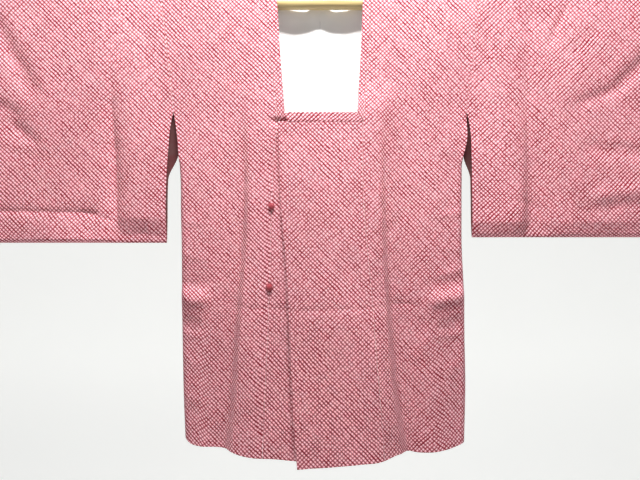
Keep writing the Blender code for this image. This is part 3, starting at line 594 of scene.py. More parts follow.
def close_side(out, depth, z):
    """Carries a section round the side to the seam, or leaves it open above the vent's foot."""
    closed = ramp(z, VENT_ROUND - VENT_FOOT, -VENT_FOOT) ** 4
    round_out = out[:, -1:] + along(SIDE_ROUND, z) * np.sin(ROUNDING)
    round_depth = depth[:, -1:] * (1 - closed * (1 - np.cos(ROUNDING)))
    round_depth = np.maximum(round_depth, closed * SEAM_GAP / 2)
    return np.hstack((out, round_out)), np.hstack((depth, round_depth))


def body_front(side):
    """Front rows of a body panel, hem first, from its band seam past the pleat to the side."""
    z = rows(
        side.edge.heights[-1], *WAIST, -VENT_FOOT, -ARMHOLE_DEPTH, 0.0, edges=START,
        step=(STEP, FINE_STEP, SIDE_STEP, SIDE_STEP, STEP),
    )
    seam = along(side.band_seam, z) + SEAM_GAP / 2
    pleat_out, pleat_rise = pleat_section(side, z)
    inner_out = spread(seam, pleat_out[:, :1], START)[:, :-1]
    side_start = along(side.edge, z) - along(SIDE_ROUND, z)
    outer_out = spread(pleat_out[:, -1:], side_start, NEITHER)[:, 1:]
    past = outer_out - pleat_out[:, -1:]
    beside = np.clip((side_start - outer_out) / HOLLOW_FADE, 0, 1)
    outer_rise = -along(side.pleat_rise, z) * soft(past, PLEAT_HOLLOW) * beside
    out = np.hstack((inner_out, pleat_out, outer_out))
    rise = np.hstack((inner_swell(side, inner_out, z), pleat_rise, outer_rise))
    out, depth = close_side(out, front_depth(side, out, z) + rise, z)
    return front_points(side, out, depth, z)


def body_back(side, share):
    """Back rows of a body panel, from the middle. share places its columns past the neck."""
    below = rows(-BACK_NECK_DROP, -ARMHOLE_DEPTH, -VENT_FOOT, side.edge.heights[-1])
    z = np.concatenate((rows(0.0, -BACK_NECK_DROP, edges=END)[:-1], below))
    beside_neck = along(side.band_seam, 0.0) + SEAM_GAP / 2
    side_start = along(side.edge, z) - along(SIDE_ROUND, z)
    neck_out = spread(SEAM_GAP / 2, beside_neck, START)[:, :-1] + 0 * z
    out = np.hstack((neck_out, beside_neck + (side_start - beside_neck) * share))
    out, depth = close_side(out, back_depth(side, out, z), z)
    points = xyz(side.sign * out, depth, back_sunk(side, out, z))
    return points, neck_out.shape[1], len(z) - len(below)


def over_rod(front_x, back_x, radius):
    """Rows that carry columns over the rod, from straight in front of it to straight behind it."""
    turn = np.linspace(0, math.pi, ARC_STEPS + 1)[:, None]
    x = front_x + (back_x - front_x) * turn / math.pi
    return xyz(x, -radius * np.cos(turn), radius * np.sin(turn))


def whole(grid, value):
    """The same value for every cell of a grid."""
    return np.full((grid.shape[0] - 1, grid.shape[1] - 1), value)


def nearest(values, target):
    """Where the value nearest to the target is."""
    return int(np.argmin(np.abs(values - target)))


# Seams for wall: rows and columns of the grid, and the axis that the cloth's edge is cut square to
FIRST_COLUMN = ((slice(None), 0, 0),)
LAST_COLUMN = ((slice(None), -1, 0),)
Panel = namedtuple("Panel", "grid cells seams shoulder neck")


def body_panel(side):
    """One length of cloth from front hem over shoulder to back hem, and which cells exist."""
    front = body_front(side)
    turned = ROUNDING.shape[1]
    top = front[-1, :-turned, 0]
    back, neck, neck_row = body_back(side, ((top - top[0]) / (top[-1] - top[0]))[None, :])
    arc = over_rod(front[-1:, :, 0], front[-1:, :, 0], SHOULDER_RADIUS)
    before_back = len(front) - 1 + len(arc)
    middle = np.repeat(np.concatenate((front[:-1], arc))[:, :1], neck, axis=1)
    beside = np.concatenate((front[:-1], arc, back[1:, neck:]))
    grid = np.concatenate((np.concatenate((middle, back[1:, :neck])), beside), axis=1)
    cells = whole(grid, True)
    neck_foot = before_back + neck_row - 1
    cells[:neck_foot, :neck] = False
    height = grid[:, -1, 2]
    foot = nearest(height[: len(front)], -VENT_FOOT)
    back_foot = before_back + nearest(height[before_back:], -VENT_FOOT)
    seams = (
        (slice(0, len(grid)), 0, 0),
        (slice(0, neck_foot + 1), neck, 0),
        (slice(0, foot + 1), -1, 1),
        (slice(foot + 1, back_foot), -1, 0),
        (slice(back_foot, len(grid)), -1, 1),
    )
    return Panel(grid, cells, seams, len(front) + ARC_STEPS // 2 - 1, neck)


def front_band(side):
    """A straight panel from the neckband to the hem, between its seam and its free edge."""
    z = rows(
        -BAND_FOOT - SEAM_GAP, *WAIST[::-1], side.edge.heights[-1], step=(STEP, FINE_STEP, STEP),
    )
    out = spread(along(side.band_seam, z) - SEAM_GAP / 2, along(side.free_edge, z))
    return front_points(side, out, band_depth(side, out, z), z)


def edged(inner, width, edge=EDGE_STEPS):
    """Shares of a band's width: the inner ones, and some close together beside both edges."""
    return np.concatenate((edge / width, inner, 1 - edge[::-1] / width))


def neckband_run(side):
    """The neckband along the top of a front band, cut at 45 degrees at the neck's corner."""
    share = edged(rows(0.0, 1.0, step=0.2)[4:-4, 0], BAND_WIDTH)[:, None]
    inside, outside = along(side.neck_edge, -NECK_DEPTH), along(side.band_seam, -BAND_FOOT)
    start = inside + (outside - inside) * share - MITRE_GAP
    out = spread(start, side.band_end + 0 * share, step=BAND_STEP)
    z = -NECK_DEPTH - BAND_WIDTH * share + 0 * out
    return xyz(side.sign * out, -band_depth(side, out, z) - BAND_STAND, z)


def neckband_side(side):
    """The neckband beside the neck, from its mitred foot over the rod to the back neck."""
    outer_z = rows(-BAND_FOOT, 0.0, edges=START, step=BAND_STEP)
    foot = np.clip((outer_z + LEAN_START) / (LEAN_START - BAND_FOOT), 0, 1)
    share = edged(rows(0.0, 1.0, step=0.2)[4:-4, 0], BAND_WIDTH, EDGE_STEPS[:-1])[None, :]
    z = outer_z + BAND_WIDTH * foot * (1 - share)
    inside, outside = along(side.neck_edge, z[:, :1]), along(side.band_seam, outer_z) - SEAM_GAP / 2
    out = inside + (outside - inside) * share
    front = xyz(side.sign * out, -band_depth(side, out, z) - BAND_STAND, z)
    arc = over_rod(front[-1:, :, 0], front[-1:, :, 0], SHOULDER_RADIUS + BAND_STAND)
    drops = rows(0.0, BACK_BAND_TOP - SEAM_GAP, edges=END, step=BACK_STEP)[1:, 0]
    end = arc[-1:] - xyz(0, 0, drops)[:, None, :]
    return np.concatenate((front[:-1], arc, end))


def neckband_back():
    """The neckband behind the neck, standing on the back neck seam."""
    height = BACK_NECK_DROP - SEAM_GAP - BACK_BAND_TOP
    share = edged(np.linspace(0, 1, 7)[1:-1], height)[:, None]
    halves = []
    for side in (RIGHT, LEFT):
        out = spread(0.0, along(side.band_seam, 0.0), END, step=BACK_STEP)
        z = -BACK_NECK_DROP + SEAM_GAP + height * share + 0 * out
        halves.append(xyz(side.sign * out, back_depth(side, out + 0 * z, z) + BAND_STAND, z))
    return np.concatenate((halves[0][:, ::-1], halves[1][:, 1:]), axis=1)


def back_lining(side, cloth):
    """White silk just inside half the back: its points moved in, and carried up behind the neck."""
    panel = body_panel(side)
    normal = outward(panel.grid, panel.cells, side is LEFT, panel.seams)
    inside = panel.grid - (cloth + SEAM_GAP) * normal
    start = int(np.nonzero(panel.cells[:, 0])[0][0])
    reach = np.abs(panel.grid[start, :, 0])
    last = int(np.searchsorted(reach, along(side.edge, 0.0) - SHOULDER_RADIUS - LINING_MARGIN))
    foot = start + nearest(panel.grid[start:, 0, 2], LINING_FOOT)
    back = inside[start : foot + 1, :last]
    x = back[:1, :, 0]
    share = np.concatenate((EDGE_STEPS / LINING_RISE, (0.2, 0.35, 0.5, 0.65, 0.8)))[:, None]
    z = -LINING_TOP + (back[:1, :, 2] + LINING_TOP) * share
    depth = back_depth(side, np.abs(x) + 0 * z, z) - cloth - 2 * SEAM_GAP
    grid = np.concatenate((xyz(x, depth, z), back))
    cells = whole(grid, True)
    cells[: len(share), panel.neck :] = False
    return grid, cells


def sleeve_edge(side, z):
    """Distance of a sleeve's outer edge: upright at the cuff, round at its lower corner."""
    below = np.clip(side.sleeve_bottom + SLEEVE_CORNER - z, 0, SLEEVE_CORNER)
    return SLEEVE_END - SLEEVE_CORNER + np.sqrt(SLEEVE_CORNER**2 - below**2)


def sleeve_cap(side, out, z):
    """1 inside a sleeve's outline, falling as a quarter circle to 0 at its seams below the cuff."""
    from_corner = np.hypot(out - SLEEVE_END + SLEEVE_CORNER, z - side.sleeve_bottom - SLEEVE_CORNER)
    in_corner = (out > SLEEVE_END - SLEEVE_CORNER) & (z < side.sleeve_bottom + SLEEVE_CORNER)
    to_edge = np.minimum(SLEEVE_END - out, z - side.sleeve_bottom)
    to_edge = np.where(in_corner, SLEEVE_CORNER - from_corner, to_edge)
    share = 1 - np.clip(to_edge / SLEEVE_ROUND, 0, 1)
    closed = ramp(z, -CUFF_OPENING + 0.04, -CUFF_OPENING) ** 4
    return 1 - closed * (1 - np.sqrt(1 - share**2))


def sleeve_grid(side):
    """One length of cloth from the foot of the sleeve's front over the rod to the foot of its back.

    Towards its foot the cloth turns under. Below the armhole its back reaches nearer to the body,
    filling the slit behind it with cloth whose dusky inner face is painted shade.
    """
    turn = np.radians(np.arange(90.0, -1.0, -10.0))
    foot = side.sleeve_bottom + SLEEVE_ROUND * (1 - np.sin(turn))
    corner = side.sleeve_bottom + SLEEVE_CORNER
    stops = rows(
        foot[-1], corner, -0.385, -CUFF_OPENING, -ARMHOLE_DEPTH, 0.0, edges=NEITHER,
        step=(CORNER_STEP, FINE_STEP, SLEEVE_STEP, SLEEVE_STEP, STEP),
    )
    z = np.concatenate((foot[:, None], stops[1:]))
    seamed = z > -ARMHOLE_DEPTH - 1e-6
    inner = np.where(seamed, along(side.edge, z), along(side.furi, z)) + SEAM_GAP
    # The back reaches across the slit, so its dusky inner face shows there as painted shade
    reach = np.maximum(inner - along(side.edge, z) - 0.0005, 0)
    rear_inner = inner - np.where(seamed, 0, reach * ramp(z, -0.345, -0.285))
    edge = sleeve_edge(side, z)
    press = along(side.press, z)
    before, after = press - PRESS_ZONE, press + PRESS_ZONE
    count = int(np.ceil(np.max(before - rear_inner) / STEP)) + 1
    front, back = (
        sleeve_wall(side, np.hstack((
            spread(start, before, START, count=count)[:, :-1],
            spread(before, after, NEITHER, PRESS_STEP)[:, :-1],
            spread(after, edge - SLEEVE_ROUND, NEITHER),
            edge - SLEEVE_ROUND * (1 - np.sin(ROUNDING)),
        )), z, way)
        for start, way in ((inner, -1), (rear_inner, 1))
    )
    arc = over_rod(front[-1:, :, 0], back[-1:, :, 0], SHOULDER_RADIUS)
    grid = np.concatenate((front[:-1], arc, back[-2::-1]))
    closed = int(np.searchsorted(z[:, 0], -CUFF_OPENING))
    count = len(grid)
    seams = (
        (slice(1, count - 1), 0, 0),
        (0, slice(0, grid.shape[1]), 1),
        (count - 1, slice(0, grid.shape[1]), 1),
        (slice(0, closed + 1), -1, 1),
        (slice(count - closed - 1, count), -1, 1),
    )
    return grid, seams, len(front) + ARC_STEPS // 2 - 1


def sleeve_wall(side, out, z, way):
    """Front (way -1) or back (way 1) of a sleeve: its bulge, pinched at the body, and folds."""
    z = z + 0 * out
    seam_z = np.maximum(z, -ARMHOLE_DEPTH)
    beside = out - along(side.edge, seam_z)
    full = along(SLEEVE_BULGE, z)
    pinch = along(SIDE_ROUND, seam_z) + 0.006 * ramp(z, -ARMHOLE_DEPTH, -0.33)
    depth = full + (np.minimum(pinch, full) - full) * soft(beside, SLEEVE_PINCH)
    settle = ramp(z, 0.0, -0.03) * np.clip(beside / 0.02, 0.15, 1)
    x, layer = side.sign * out, (4 if side is LEFT else 5) + (2 if way > 0 else 0)
    folds = crease_rise(SLEEVE_CREASES[side.sign], x, z)
    folds = folds + crease_rise(SLEEVE_PRESSES[side.sign], x, z, pressed)
    past = out - along(side.press, z)
    press_width = np.where(past > 0, side.press_fade, PRESS_WIDTH)
    folds = folds - along(side.press_rise, z) * pressed(past, press_width)
    folds = folds - along(side.press_step, z) * np.tanh(past / PRESS_TURN) * soft(past, PRESS_REACH)
    # The foot turns in: not at all above turned_height, and then along a slope that starts softly
    under = np.clip((side.sleeve_bottom + side.turned_height - z) / side.turned_height, 0, 1)
    under = along(side.turned, out) * (np.sqrt((under - 0.02) ** 2 + 0.003) + under - 0.055) / 2
    share = 1.0 if way < 0 else 0.6
    depth = depth + settle * (share * folds + unevenness(x, z, layer)) - share * under
    depth = np.maximum(depth, 0.0036 * ramp(z, -0.36, -0.42)) * sleeve_cap(side, out, z)
    return xyz(x, way * np.maximum(depth, SEAM_GAP / 2), z)


def open_step(grid, cells, axis):
    """At each point, the step to the next one along an axis, one-sided where a cell is missing."""
    if axis == 0:
        return open_step(grid.transpose(1, 0, 2), cells.T, 1).transpose(1, 0, 2)
    here = np.pad(cells, ((0, 1), (1, 1))) | np.pad(cells, ((1, 0), (1, 1)))
    before = np.concatenate((grid[:, :1], grid[:, :-1]), 1)
    after = np.concatenate((grid[:, 1:], grid[:, -1:]), 1)
    return np.where(here[:, 1:, None], after, grid) - np.where(here[:, :-1, None], before, grid)


def outward(grid, cells, flip, seams):
    """Unit normals, square to the axis of each seam along it."""
    normal = np.cross(open_step(grid, cells, 0), open_step(grid, cells, 1)) * (-1 if flip else 1)
    for at_rows, at_columns, axis in seams:
        normal[at_rows, at_columns, axis] = 0
    length = np.linalg.norm(normal, axis=-1, keepdims=True)
    corner = length[:, 1:] < 1e-13
    normal[:, 1:] = np.where(corner, normal[:, :-1], normal[:, 1:])
    length[:, 1:] = np.where(corner, length[:, :-1], length[:, 1:])
    return normal / np.maximum(length, 1e-13)


def edge_level(cells):
    """How many points lie between each point and the nearest free edge, 3 at the most."""
    full = np.pad(cells, 1)
    inside = full[:-1, :-1] & full[1:, :-1] & full[:-1, 1:] & full[1:, 1:]
    level = inside.astype(int)
    for _ in range(len(EDGE_STEPS) - 2):
        p = np.pad(inside, 1)
        inside = inside & p[:-2, 1:-1] & p[2:, 1:-1] & p[1:-1, :-2] & p[1:-1, 2:]
        level += inside
    return level


def lengths(grid, axis, origin):
    """Distance along a grid's rows or columns, measured over the cloth from one of its points."""
    steps = np.linalg.norm(np.diff(grid, axis=axis), axis=-1)
    total = np.cumsum(np.insert(steps, 0, 0, axis=axis), axis=axis)
    return total - np.take(total, [origin], axis=axis)


def cloth_uv(grid, row, column, way, down, shift):
    """UVs are distances over the cloth from one row and column, so the dots keep their size."""
    across = grid[:, column, 0][:, None] + lengths(grid, 1, column) * way
    height = lengths(grid, 0, row) * down
    height[:, :column] = height[:, column : column + 1]
    return np.stack((across, height), axis=-1).reshape(-1, 2) + np.array(shift)


def grid_faces(cells):
    """Four-sided faces of the cells that exist, with the grid's points counted row by row."""
    i, j = np.nonzero(cells)
    columns = cells.shape[1] + 1
    a = i * columns + j
    return np.stack((a, a + columns, a + columns + 1, a + 1), axis=-1)


def wall(
    name, grid, flip, thickness, cells=None, seams=(), inside=None, row=0, column=0, way=1, down=1,
    shift=(0, 0),
):
    """A closed wall of cloth whose outer face is the grid and whose rim is rounded.

    The grid's points move along their normals by half the thickness less its share at the edge,
    and again by the rest, which gives both faces. Strips join them round every free edge.
    inside is the material of each cell's inner face: 0 dyed silk, 1 white lining, 2 facing, whose
    dusky colour is painted shade.
    """
    cells = whole(grid, True) if cells is None else cells
    inside = (whole(grid, 1) if inside is None else inside)[np.nonzero(cells)]
    normal = outward(grid, cells, flip, seams) * thickness
    share = EDGE_SHARES[edge_level(cells)][..., None]
    points = [(grid - normal * part / 2).reshape(-1, 3) for part in (1 - share, 1 + share)]
    quads = grid_faces(cells)
    if flip:
        quads = quads[:, ::-1]
    count = grid.shape[0] * grid.shape[1]
    starts, ends = quads.ravel(), np.roll(quads, -1, axis=1).ravel()
    free = ~np.isin(starts * count + ends, ends * count + starts)
    starts, ends = starts[free], ends[free]
    rim = np.stack((ends, starts, starts + count, ends + count), axis=-1)
    faces = np.concatenate((quads, quads[:, ::-1] + count, rim))
    slots = np.concatenate((np.zeros(len(quads), int), inside, np.zeros(len(rim), int)))
    uv = cloth_uv(grid, row, column, way, down, shift)
    return mesh_from(name, np.concatenate(points), faces, np.concatenate((uv, uv)), slots)


def mesh_from(name, points, faces, uv=None, slots=None):
    """A mesh from arrays of points and four-sided faces, without the points that no face uses."""
    used, place = np.unique(faces, return_inverse=True)
    place = place.reshape(faces.shape)
    mesh = bpy.data.meshes.new(name)
    mesh.vertices.add(len(used))
    mesh.vertices.foreach_set("co", points[used].astype(np.float32).ravel())
    mesh.loops.add(place.size)
    mesh.loops.foreach_set("vertex_index", place.astype(np.int32).ravel())
    mesh.polygons.add(len(faces))
    starts = np.arange(0, place.size, faces.shape[1], dtype=np.int32)
    mesh.polygons.foreach_set("loop_start", starts)
    if slots is not None:
        mesh.polygons.foreach_set("material_index", slots.astype(np.int32))
    mesh.update(calc_edges=True)
    if uv is not None:
        layer = mesh.uv_layers.new(name="cloth")
        layer.data.foreach_set("uv", uv[faces.ravel()].astype(np.float32).ravel())
    mesh.validate()
    mesh.shade_smooth()
    return mesh


def around(count):
    """Angles evenly round a circle."""
    return np.linspace(0, 2 * math.pi, count, endpoint=False)


def ring_faces(count, sides, closed=False):
    """Four-sided faces between rings of points, and from last ring to first where closed."""
    i, j = np.meshgrid(np.arange(count if closed else count - 1), np.arange(sides), indexing="ij")
    near, far, after = i * sides, (i + 1) % count * sides, (j + 1) % sides
    return np.stack((near + j, near + after, far + after, far + j), axis=-1).reshape(-1, 4)


def looped_cord(path, radius, sides):
    """Rings carried round a closed path: each is a circle square to the path's direction there."""
    ahead = np.roll(path, -1, 0) - np.roll(path, 1, 0)
    ahead /= np.linalg.norm(ahead, axis=1, keepdims=True)
    side = np.cross(ahead, path - path.mean(0))
    side /= np.maximum(np.linalg.norm(side, axis=1, keepdims=True), 1e-9)
    turn = around(sides)[None, :, None]
    circle = np.cos(turn) * side[:, None] + np.sin(turn) * np.cross(side, ahead)[:, None]
    points = (path[:, None] + radius * circle).reshape(-1, 3)
    return points, ring_faces(len(path), sides, closed=True)[:, [0, 3, 2, 1]]


def close_poles(mesh):
    """Merges the points that meet at each end of a turned shape."""
    work = bmesh.new()
    work.from_mesh(mesh)
    bmesh.ops.remove_doubles(work, verts=work.verts, dist=1e-6)
    bmesh.ops.recalc_face_normals(work, faces=work.faces)
    work.to_mesh(mesh)
    work.free()
    mesh.shade_smooth()


class Graph:
    """Short names for adding linked shader nodes to a material or a world."""

    def __init__(self, owner, shader="Principled BSDF"):
        owner.use_nodes = True
        self.owner, self.tree = owner, owner.node_tree
        self.shader = self.tree.nodes[shader]

    def add(self, kind, inputs=(), output=0, **settings):
        """Adds a node; inputs are values or sockets, by name or number."""
        node = self.tree.nodes.new("ShaderNode" + kind)
        for key, value in settings.items():
            setattr(node, key, value)
        for key, value in dict(inputs).items():
            self.feed(node.inputs[key], value)
        return node.outputs[output]

    def feed(self, socket, value):
        """Links a socket, or sets its value. Colours are opaque."""
        if isinstance(value, bpy.types.NodeSocket):
            self.tree.links.new(value, socket)
        elif socket.type == "RGBA":
            socket.default_value = (*value, 1)
        else:
            socket.default_value = value

    def math(self, operation, *values):
        return self.add("Math", dict(enumerate(values)), operation=operation)

    def vector(self, operation, *values):
        return self.add("VectorMath", dict(enumerate(values)), operation=operation)

    def scaled(self, vector, scale):
        return self.add("VectorMath", {0: vector, "Scale": scale}, operation="SCALE")

    def centred(self, vector):
        return self.vector("SUBTRACT", vector, (0.5, 0.5, 0.5))

    def less(self, value):
        """What is left of 1."""
        return self.math("SUBTRACT", 1.0, value)

    def parts(self, vector):
        """The x, y and z of a vector."""
        return self.add("SeparateXYZ", {0: vector}, slice(None))

    def diagonal(self, vector):
        inputs = {"Vector": vector, "Angle": math.radians(45)}
        return self.add("VectorRotate", inputs, rotation_type="Z_AXIS")

    def noise(self, vector, scale, detail=2.0, output=0):
        return self.add("TexNoise", {"Vector": vector, "Scale": scale, "Detail": detail}, output)

    def between(self, value, low, high, to_low=0.0, to_high=1.0):
        """A soft step from to_low to to_high as the value goes from low to high."""
        inputs = {0: value, 1: low, 2: high, 3: to_low, 4: to_high}
        return self.add("MapRange", inputs, interpolation_type="SMOOTHSTEP")

    def mix(self, share, first, second, blend="MIX"):
        inputs = {0: share, 6: first, 7: second}
        return self.add("Mix", inputs, 2, data_type="RGBA", blend_type=blend)

    def shaded(self, colour, share):
        """A colour times a share of its brightness."""
        grey = self.add("CombineXYZ", dict.fromkeys(range(3), share))
        return self.mix(1.0, colour, grey, "MULTIPLY")

    def bump(self, height, distance, strength=1.0, normal=None):
        inputs = {"Height": height, "Distance": distance, "Strength": strength}
        if normal is not None:
            inputs["Normal"] = normal
        return self.add("Bump", inputs)

    def finish(self, **sockets):
        """Sets the shader's own sockets, whose names are given with underscores for spaces."""
        for key, value in sockets.items():
            self.feed(self.shader.inputs[key.replace("_", " ")], value)
        return self.owner


def dyed_silk(name, lean):
    """Crimson silk with rows of pale tied dots: an uneven lattice at 45 degrees to the grain.

    lean is how much the rows that fall to the right stand out from the ones that fall to the left,
    from 1 to -1. Each dot is pale where it is far from the lattice lines, with its own size, place
    and brightness. Its middle is paler still: partly where the silk took least dye, partly a
    painted highlight.
    """
    cloth, colours = bpy.context.scene.coat_cloth, bpy.context.scene.coat_colours
    g = Graph(bpy.data.materials.new(name))
    place = g.add("UVMap", uv_map="cloth")
    drift = g.centred(g.noise(place, 17.0, 1.0, "Color"))
    shake = g.centred(g.noise(place, 70.0, 1.0, "Color"))
    moved = g.vector("ADD", place, g.scaled(drift, cloth.wander))
    moved = g.vector("ADD", moved, g.scaled(shake, cloth.wander * 0.28))
    lattice = g.scaled(g.diagonal(moved), 1 / cloth.dot_pitch)
    dot = {"Vector": g.vector("FLOOR", lattice)}
    chance = g.add("TexWhiteNoise", dot, "Color", noise_dimensions="2D")
    jitter = g.scaled(g.centred(chance), cloth.dot_jitter)
    near = g.vector("ADD", g.centred(g.vector("FRACTION", lattice)), jitter)
    near_x, near_y, _ = g.parts(g.vector("ABSOLUTE", near))
    colour_luck, height_luck, size_luck = g.parts(chance)
    swing = g.between(g.noise(place, 7.0, 1.0), 0.3, 0.7, lean - 0.35, lean + 0.35)
    falling = g.between(swing, -1.0, 1.0, 0.55, 1.08)
    rising = g.between(swing, -1.0, 1.0, 1.08, 0.55)
    size = g.math("MULTIPLY_ADD", size_luck, 0.06, cloth.dot_share / 2 - 0.03)
    rim, past_rim = g.math("SUBTRACT", size, 0.16), g.math("ADD", size, 0.05)
    own = g.vector("FLOOR", g.vector("ADD", lattice, (0.5, 0.5, 0.0)))
    own = g.vector("MULTIPLY", own, (3.7, 3.7, 0.0))
    along_line = g.vector("MULTIPLY", lattice, (0.07, 0.07, 0.0))
    across, up = (1.0, 0.0, 0.0), (0.0, 1.0, 0.0)
    lines, gaps = [], []
    for distance, keep, run, broad in ((near_y, up, across, falling), (near_x, across, up, rising)):
        lines.append(g.between(distance, rim, past_rim))
        spot = g.vector("MULTIPLY", own, keep)
        spot = g.vector("ADD", spot, g.vector("MULTIPLY", along_line, run))
        luck = g.between(g.noise(spot, 1.0, 1.0), 0.32, 0.68, 0.78, 1.15)
        dye = g.math("MULTIPLY", lines[-1], g.math("MULTIPLY", broad, luck))
        gaps.append(g.less(g.math("MINIMUM", 1.0, dye)))
    dark = g.less(g.math("MULTIPLY", *gaps))
    # The middle of each dot gets the core colour: partly undyed silk, partly a painted highlight
    core = g.between(g.math("MAXIMUM", near_x, near_y), 0.06, 0.30, 1.0, 0.0)
    pale = g.mix(colour_luck, colours.dot_pale, colours.dot_deep)
    pale = g.mix(g.math("MULTIPLY", core, 0.8), pale, colours.dot_core_highlight)
    deep = g.mix(g.noise(place, 40.0), colours.crimson, colours.crimson_deep)
    cloudy = g.between(g.noise(place, 6.0), 0.30, 0.70, 0.94, 1.04)
    height = g.less(g.math("MAXIMUM", *lines))
    height = g.math("MULTIPLY", height, g.math("MULTIPLY_ADD", height_luck, 0.4, 0.7))
    crepe = g.bump(g.noise(place, 1900.0), 0.00012, 0.5)
    return g.finish(
        Base_Color=g.shaded(g.mix(dark, pale, deep), cloudy), Specular_IOR_Level=0.18,
        Roughness=g.between(dark, 0.0, 1.0, 0.62, 0.78),
        Normal=g.bump(height, cloth.pucker, 1.0, crepe),
        Sheen_Weight=0.06, Sheen_Roughness=0.45, Sheen_Tint=(1.0, 0.82, 0.84),
    )


def white_silk(name):
    """Plain white lining silk with thin threads and faint woven diamonds, seen as gloss."""
    colours = bpy.context.scene.coat_colours
    g = Graph(bpy.data.materials.new(name))
    place = g.add("UVMap", uv_map="cloth")
    figures = g.vector("FRACTION", g.scaled(g.diagonal(place), 1 / FIGURE_PITCH))
    x, y, _ = g.parts(g.vector("ABSOLUTE", g.centred(figures)))
    outline = g.between(g.math("MAXIMUM", x, y), 0.40, 0.43)
    heart = g.between(g.math("ADD", x, y), 0.16, 0.19, 1.0, 0.0)
    figure = g.math("MAXIMUM", outline, heart)
    threads = g.noise(g.vector("MULTIPLY", place, (1.0, 0.12, 1.0)), 2600.0, 1.0)
    cloudy = g.between(g.noise(place, 12.0), 0.3, 0.7)
    # The lining's cream tint is painted warm bounce light from the tan rod into the shade under it;
    # the silk itself is white
    colour = g.mix(cloudy, colours.lining, colours.lining_shade)
    return g.finish(
        Base_Color=g.mix(g.math("MULTIPLY", figure, 0.05), colour, (0.80, 0.78, 0.76)),
        Roughness=g.between(figure, 0.0, 1.0, 0.52, 0.36), Normal=g.bump(threads, 0.00006, 0.5),
        Specular_IOR_Level=0.4, Sheen_Weight=0.1,
    )


def slit_shade_silk(name):
    """Plain crimson silk inside the side vents and sleeves' open inner edges, dusky with painted
    shade.
    """
    colours = bpy.context.scene.coat_colours
    g = Graph(bpy.data.materials.new(name))
    place = g.add("UVMap", uv_map="cloth")
    threads = g.noise(g.vector("MULTIPLY", place, (1.0, 0.15, 1.0)), 2400.0, 1.0)
    return g.finish(
        Base_Color=g.mix(g.noise(place, 30.0), colours.facing_shade, colours.crimson_deep),
        Roughness=0.8, Specular_IOR_Level=0.15, Normal=g.bump(threads, 0.00006, 0.5),
    )


def rod_finish(name):
    """Tan varnished cane: long fibres along X, faint darker streaks, and a satin coat."""
    colours = bpy.context.scene.coat_colours
    g = Graph(bpy.data.materials.new(name))
    place = g.add("TexCoord", output="Object")
    fibres = g.noise(g.vector("MULTIPLY", place, (0.02, 1.0, 1.0)), 900.0, 3.0)
    streaks = g.noise(g.vector("MULTIPLY", place, (0.05, 1.0, 1.0)), 160.0)
    colour = g.mix(g.between(streaks, 0.35, 0.70), colours.rod, colours.rod_shade)
    return g.finish(
        Base_Color=g.mix(g.between(fibres, 0.45, 0.75, 0.0, 0.25), colour, colours.rod_shade),
        Roughness=g.between(fibres, 0.3, 0.7, 0.38, 0.52), Normal=g.bump(fibres, 0.0001, 0.4),
        Coat_Weight=0.35, Coat_Roughness=0.25,
    )


def crimson_cord(name):
    """Twisted crimson cord: fine slanting threads in relief, lighter on their crests as a painted
    highlight.
    """
    colours = bpy.context.scene.coat_colours
    g = Graph(bpy.data.materials.new(name))
    place = g.add("TexCoord", output="Object")
    inputs = {"Vector": place, "Scale": 900.0, "Distortion": 1.5, "Detail": 1.0}
    threads = g.add("TexWave", inputs, 1, bands_direction="DIAGONAL")
    # The lighter colour on the raised threads is a painted highlight
    return g.finish(
        Base_Color=g.mix(g.math("MULTIPLY", threads, 0.6), colours.button, colours.button_thread_highlight),
        Roughness=0.6, Normal=g.bump(threads, 0.00015, 0.7), Sheen_Weight=0.3,
    )


def stage_finish(name, colour):
    """Matt backdrop paper with a faint mottle and a glow of its own."""
    g = Graph(bpy.data.materials.new(name))
    mottle = g.between(g.noise(g.add("TexCoord", output="Object"), 3.0), 0.3, 0.7, 0.99, 1.0)
    return g.finish(
        Base_Color=g.shaded(colour, mottle), Roughness=0.9, Specular_IOR_Level=0.1,
        Emission_Strength=bpy.context.scene.coat_stage.backdrop_glow, Emission_Color=colour,
    )


def finish(name, maker, *details):
    """The material of that name, made the first time that it is asked for."""
    return bpy.data.materials.get(name) or maker(name, *details)


def link(thing):
    """Puts an object into the scene."""
    bpy.context.scene.collection.objects.link(thing)
    return thing


def add_piece(name, mesh, materials, nodes):
    """Puts a finished mesh into the scene as a piece that stands for CAD nodes."""
    piece = link(bpy.data.objects.new(name, mesh))
    for material in materials:
        mesh.materials.append(material)
    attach(piece, next(iter(frame["bodies"])))
    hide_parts(*nodes)
    return piece


def add_cloth(name, node, mesh, lean):
    """A piece of dyed silk, lined with white silk, with facings dusky with painted shade."""
    silk = finish("dyed_silk_%+d" % round(lean * 10), dyed_silk, lean)
    white, facing_shade = finish("white_silk", white_silk), finish("facing_painted_shade", slit_shade_silk)
    return add_piece(name, mesh, (silk, white, facing_shade), (node,))


def length(name, text, default, low, high):
    return bpy.props.FloatProperty(
        name=name, description=text, default=default, min=low, max=high, unit="LENGTH", precision=4
    )


def amount(name, text, default, low, high):
    return bpy.props.FloatProperty(name=name, description=text, default=default, min=low, max=high)


def tint(name, text, default):
    return bpy.props.FloatVectorProperty(
        name=name, description=text, default=default, size=3, subtype="COLOR", min=0.0, max=1.0
    )


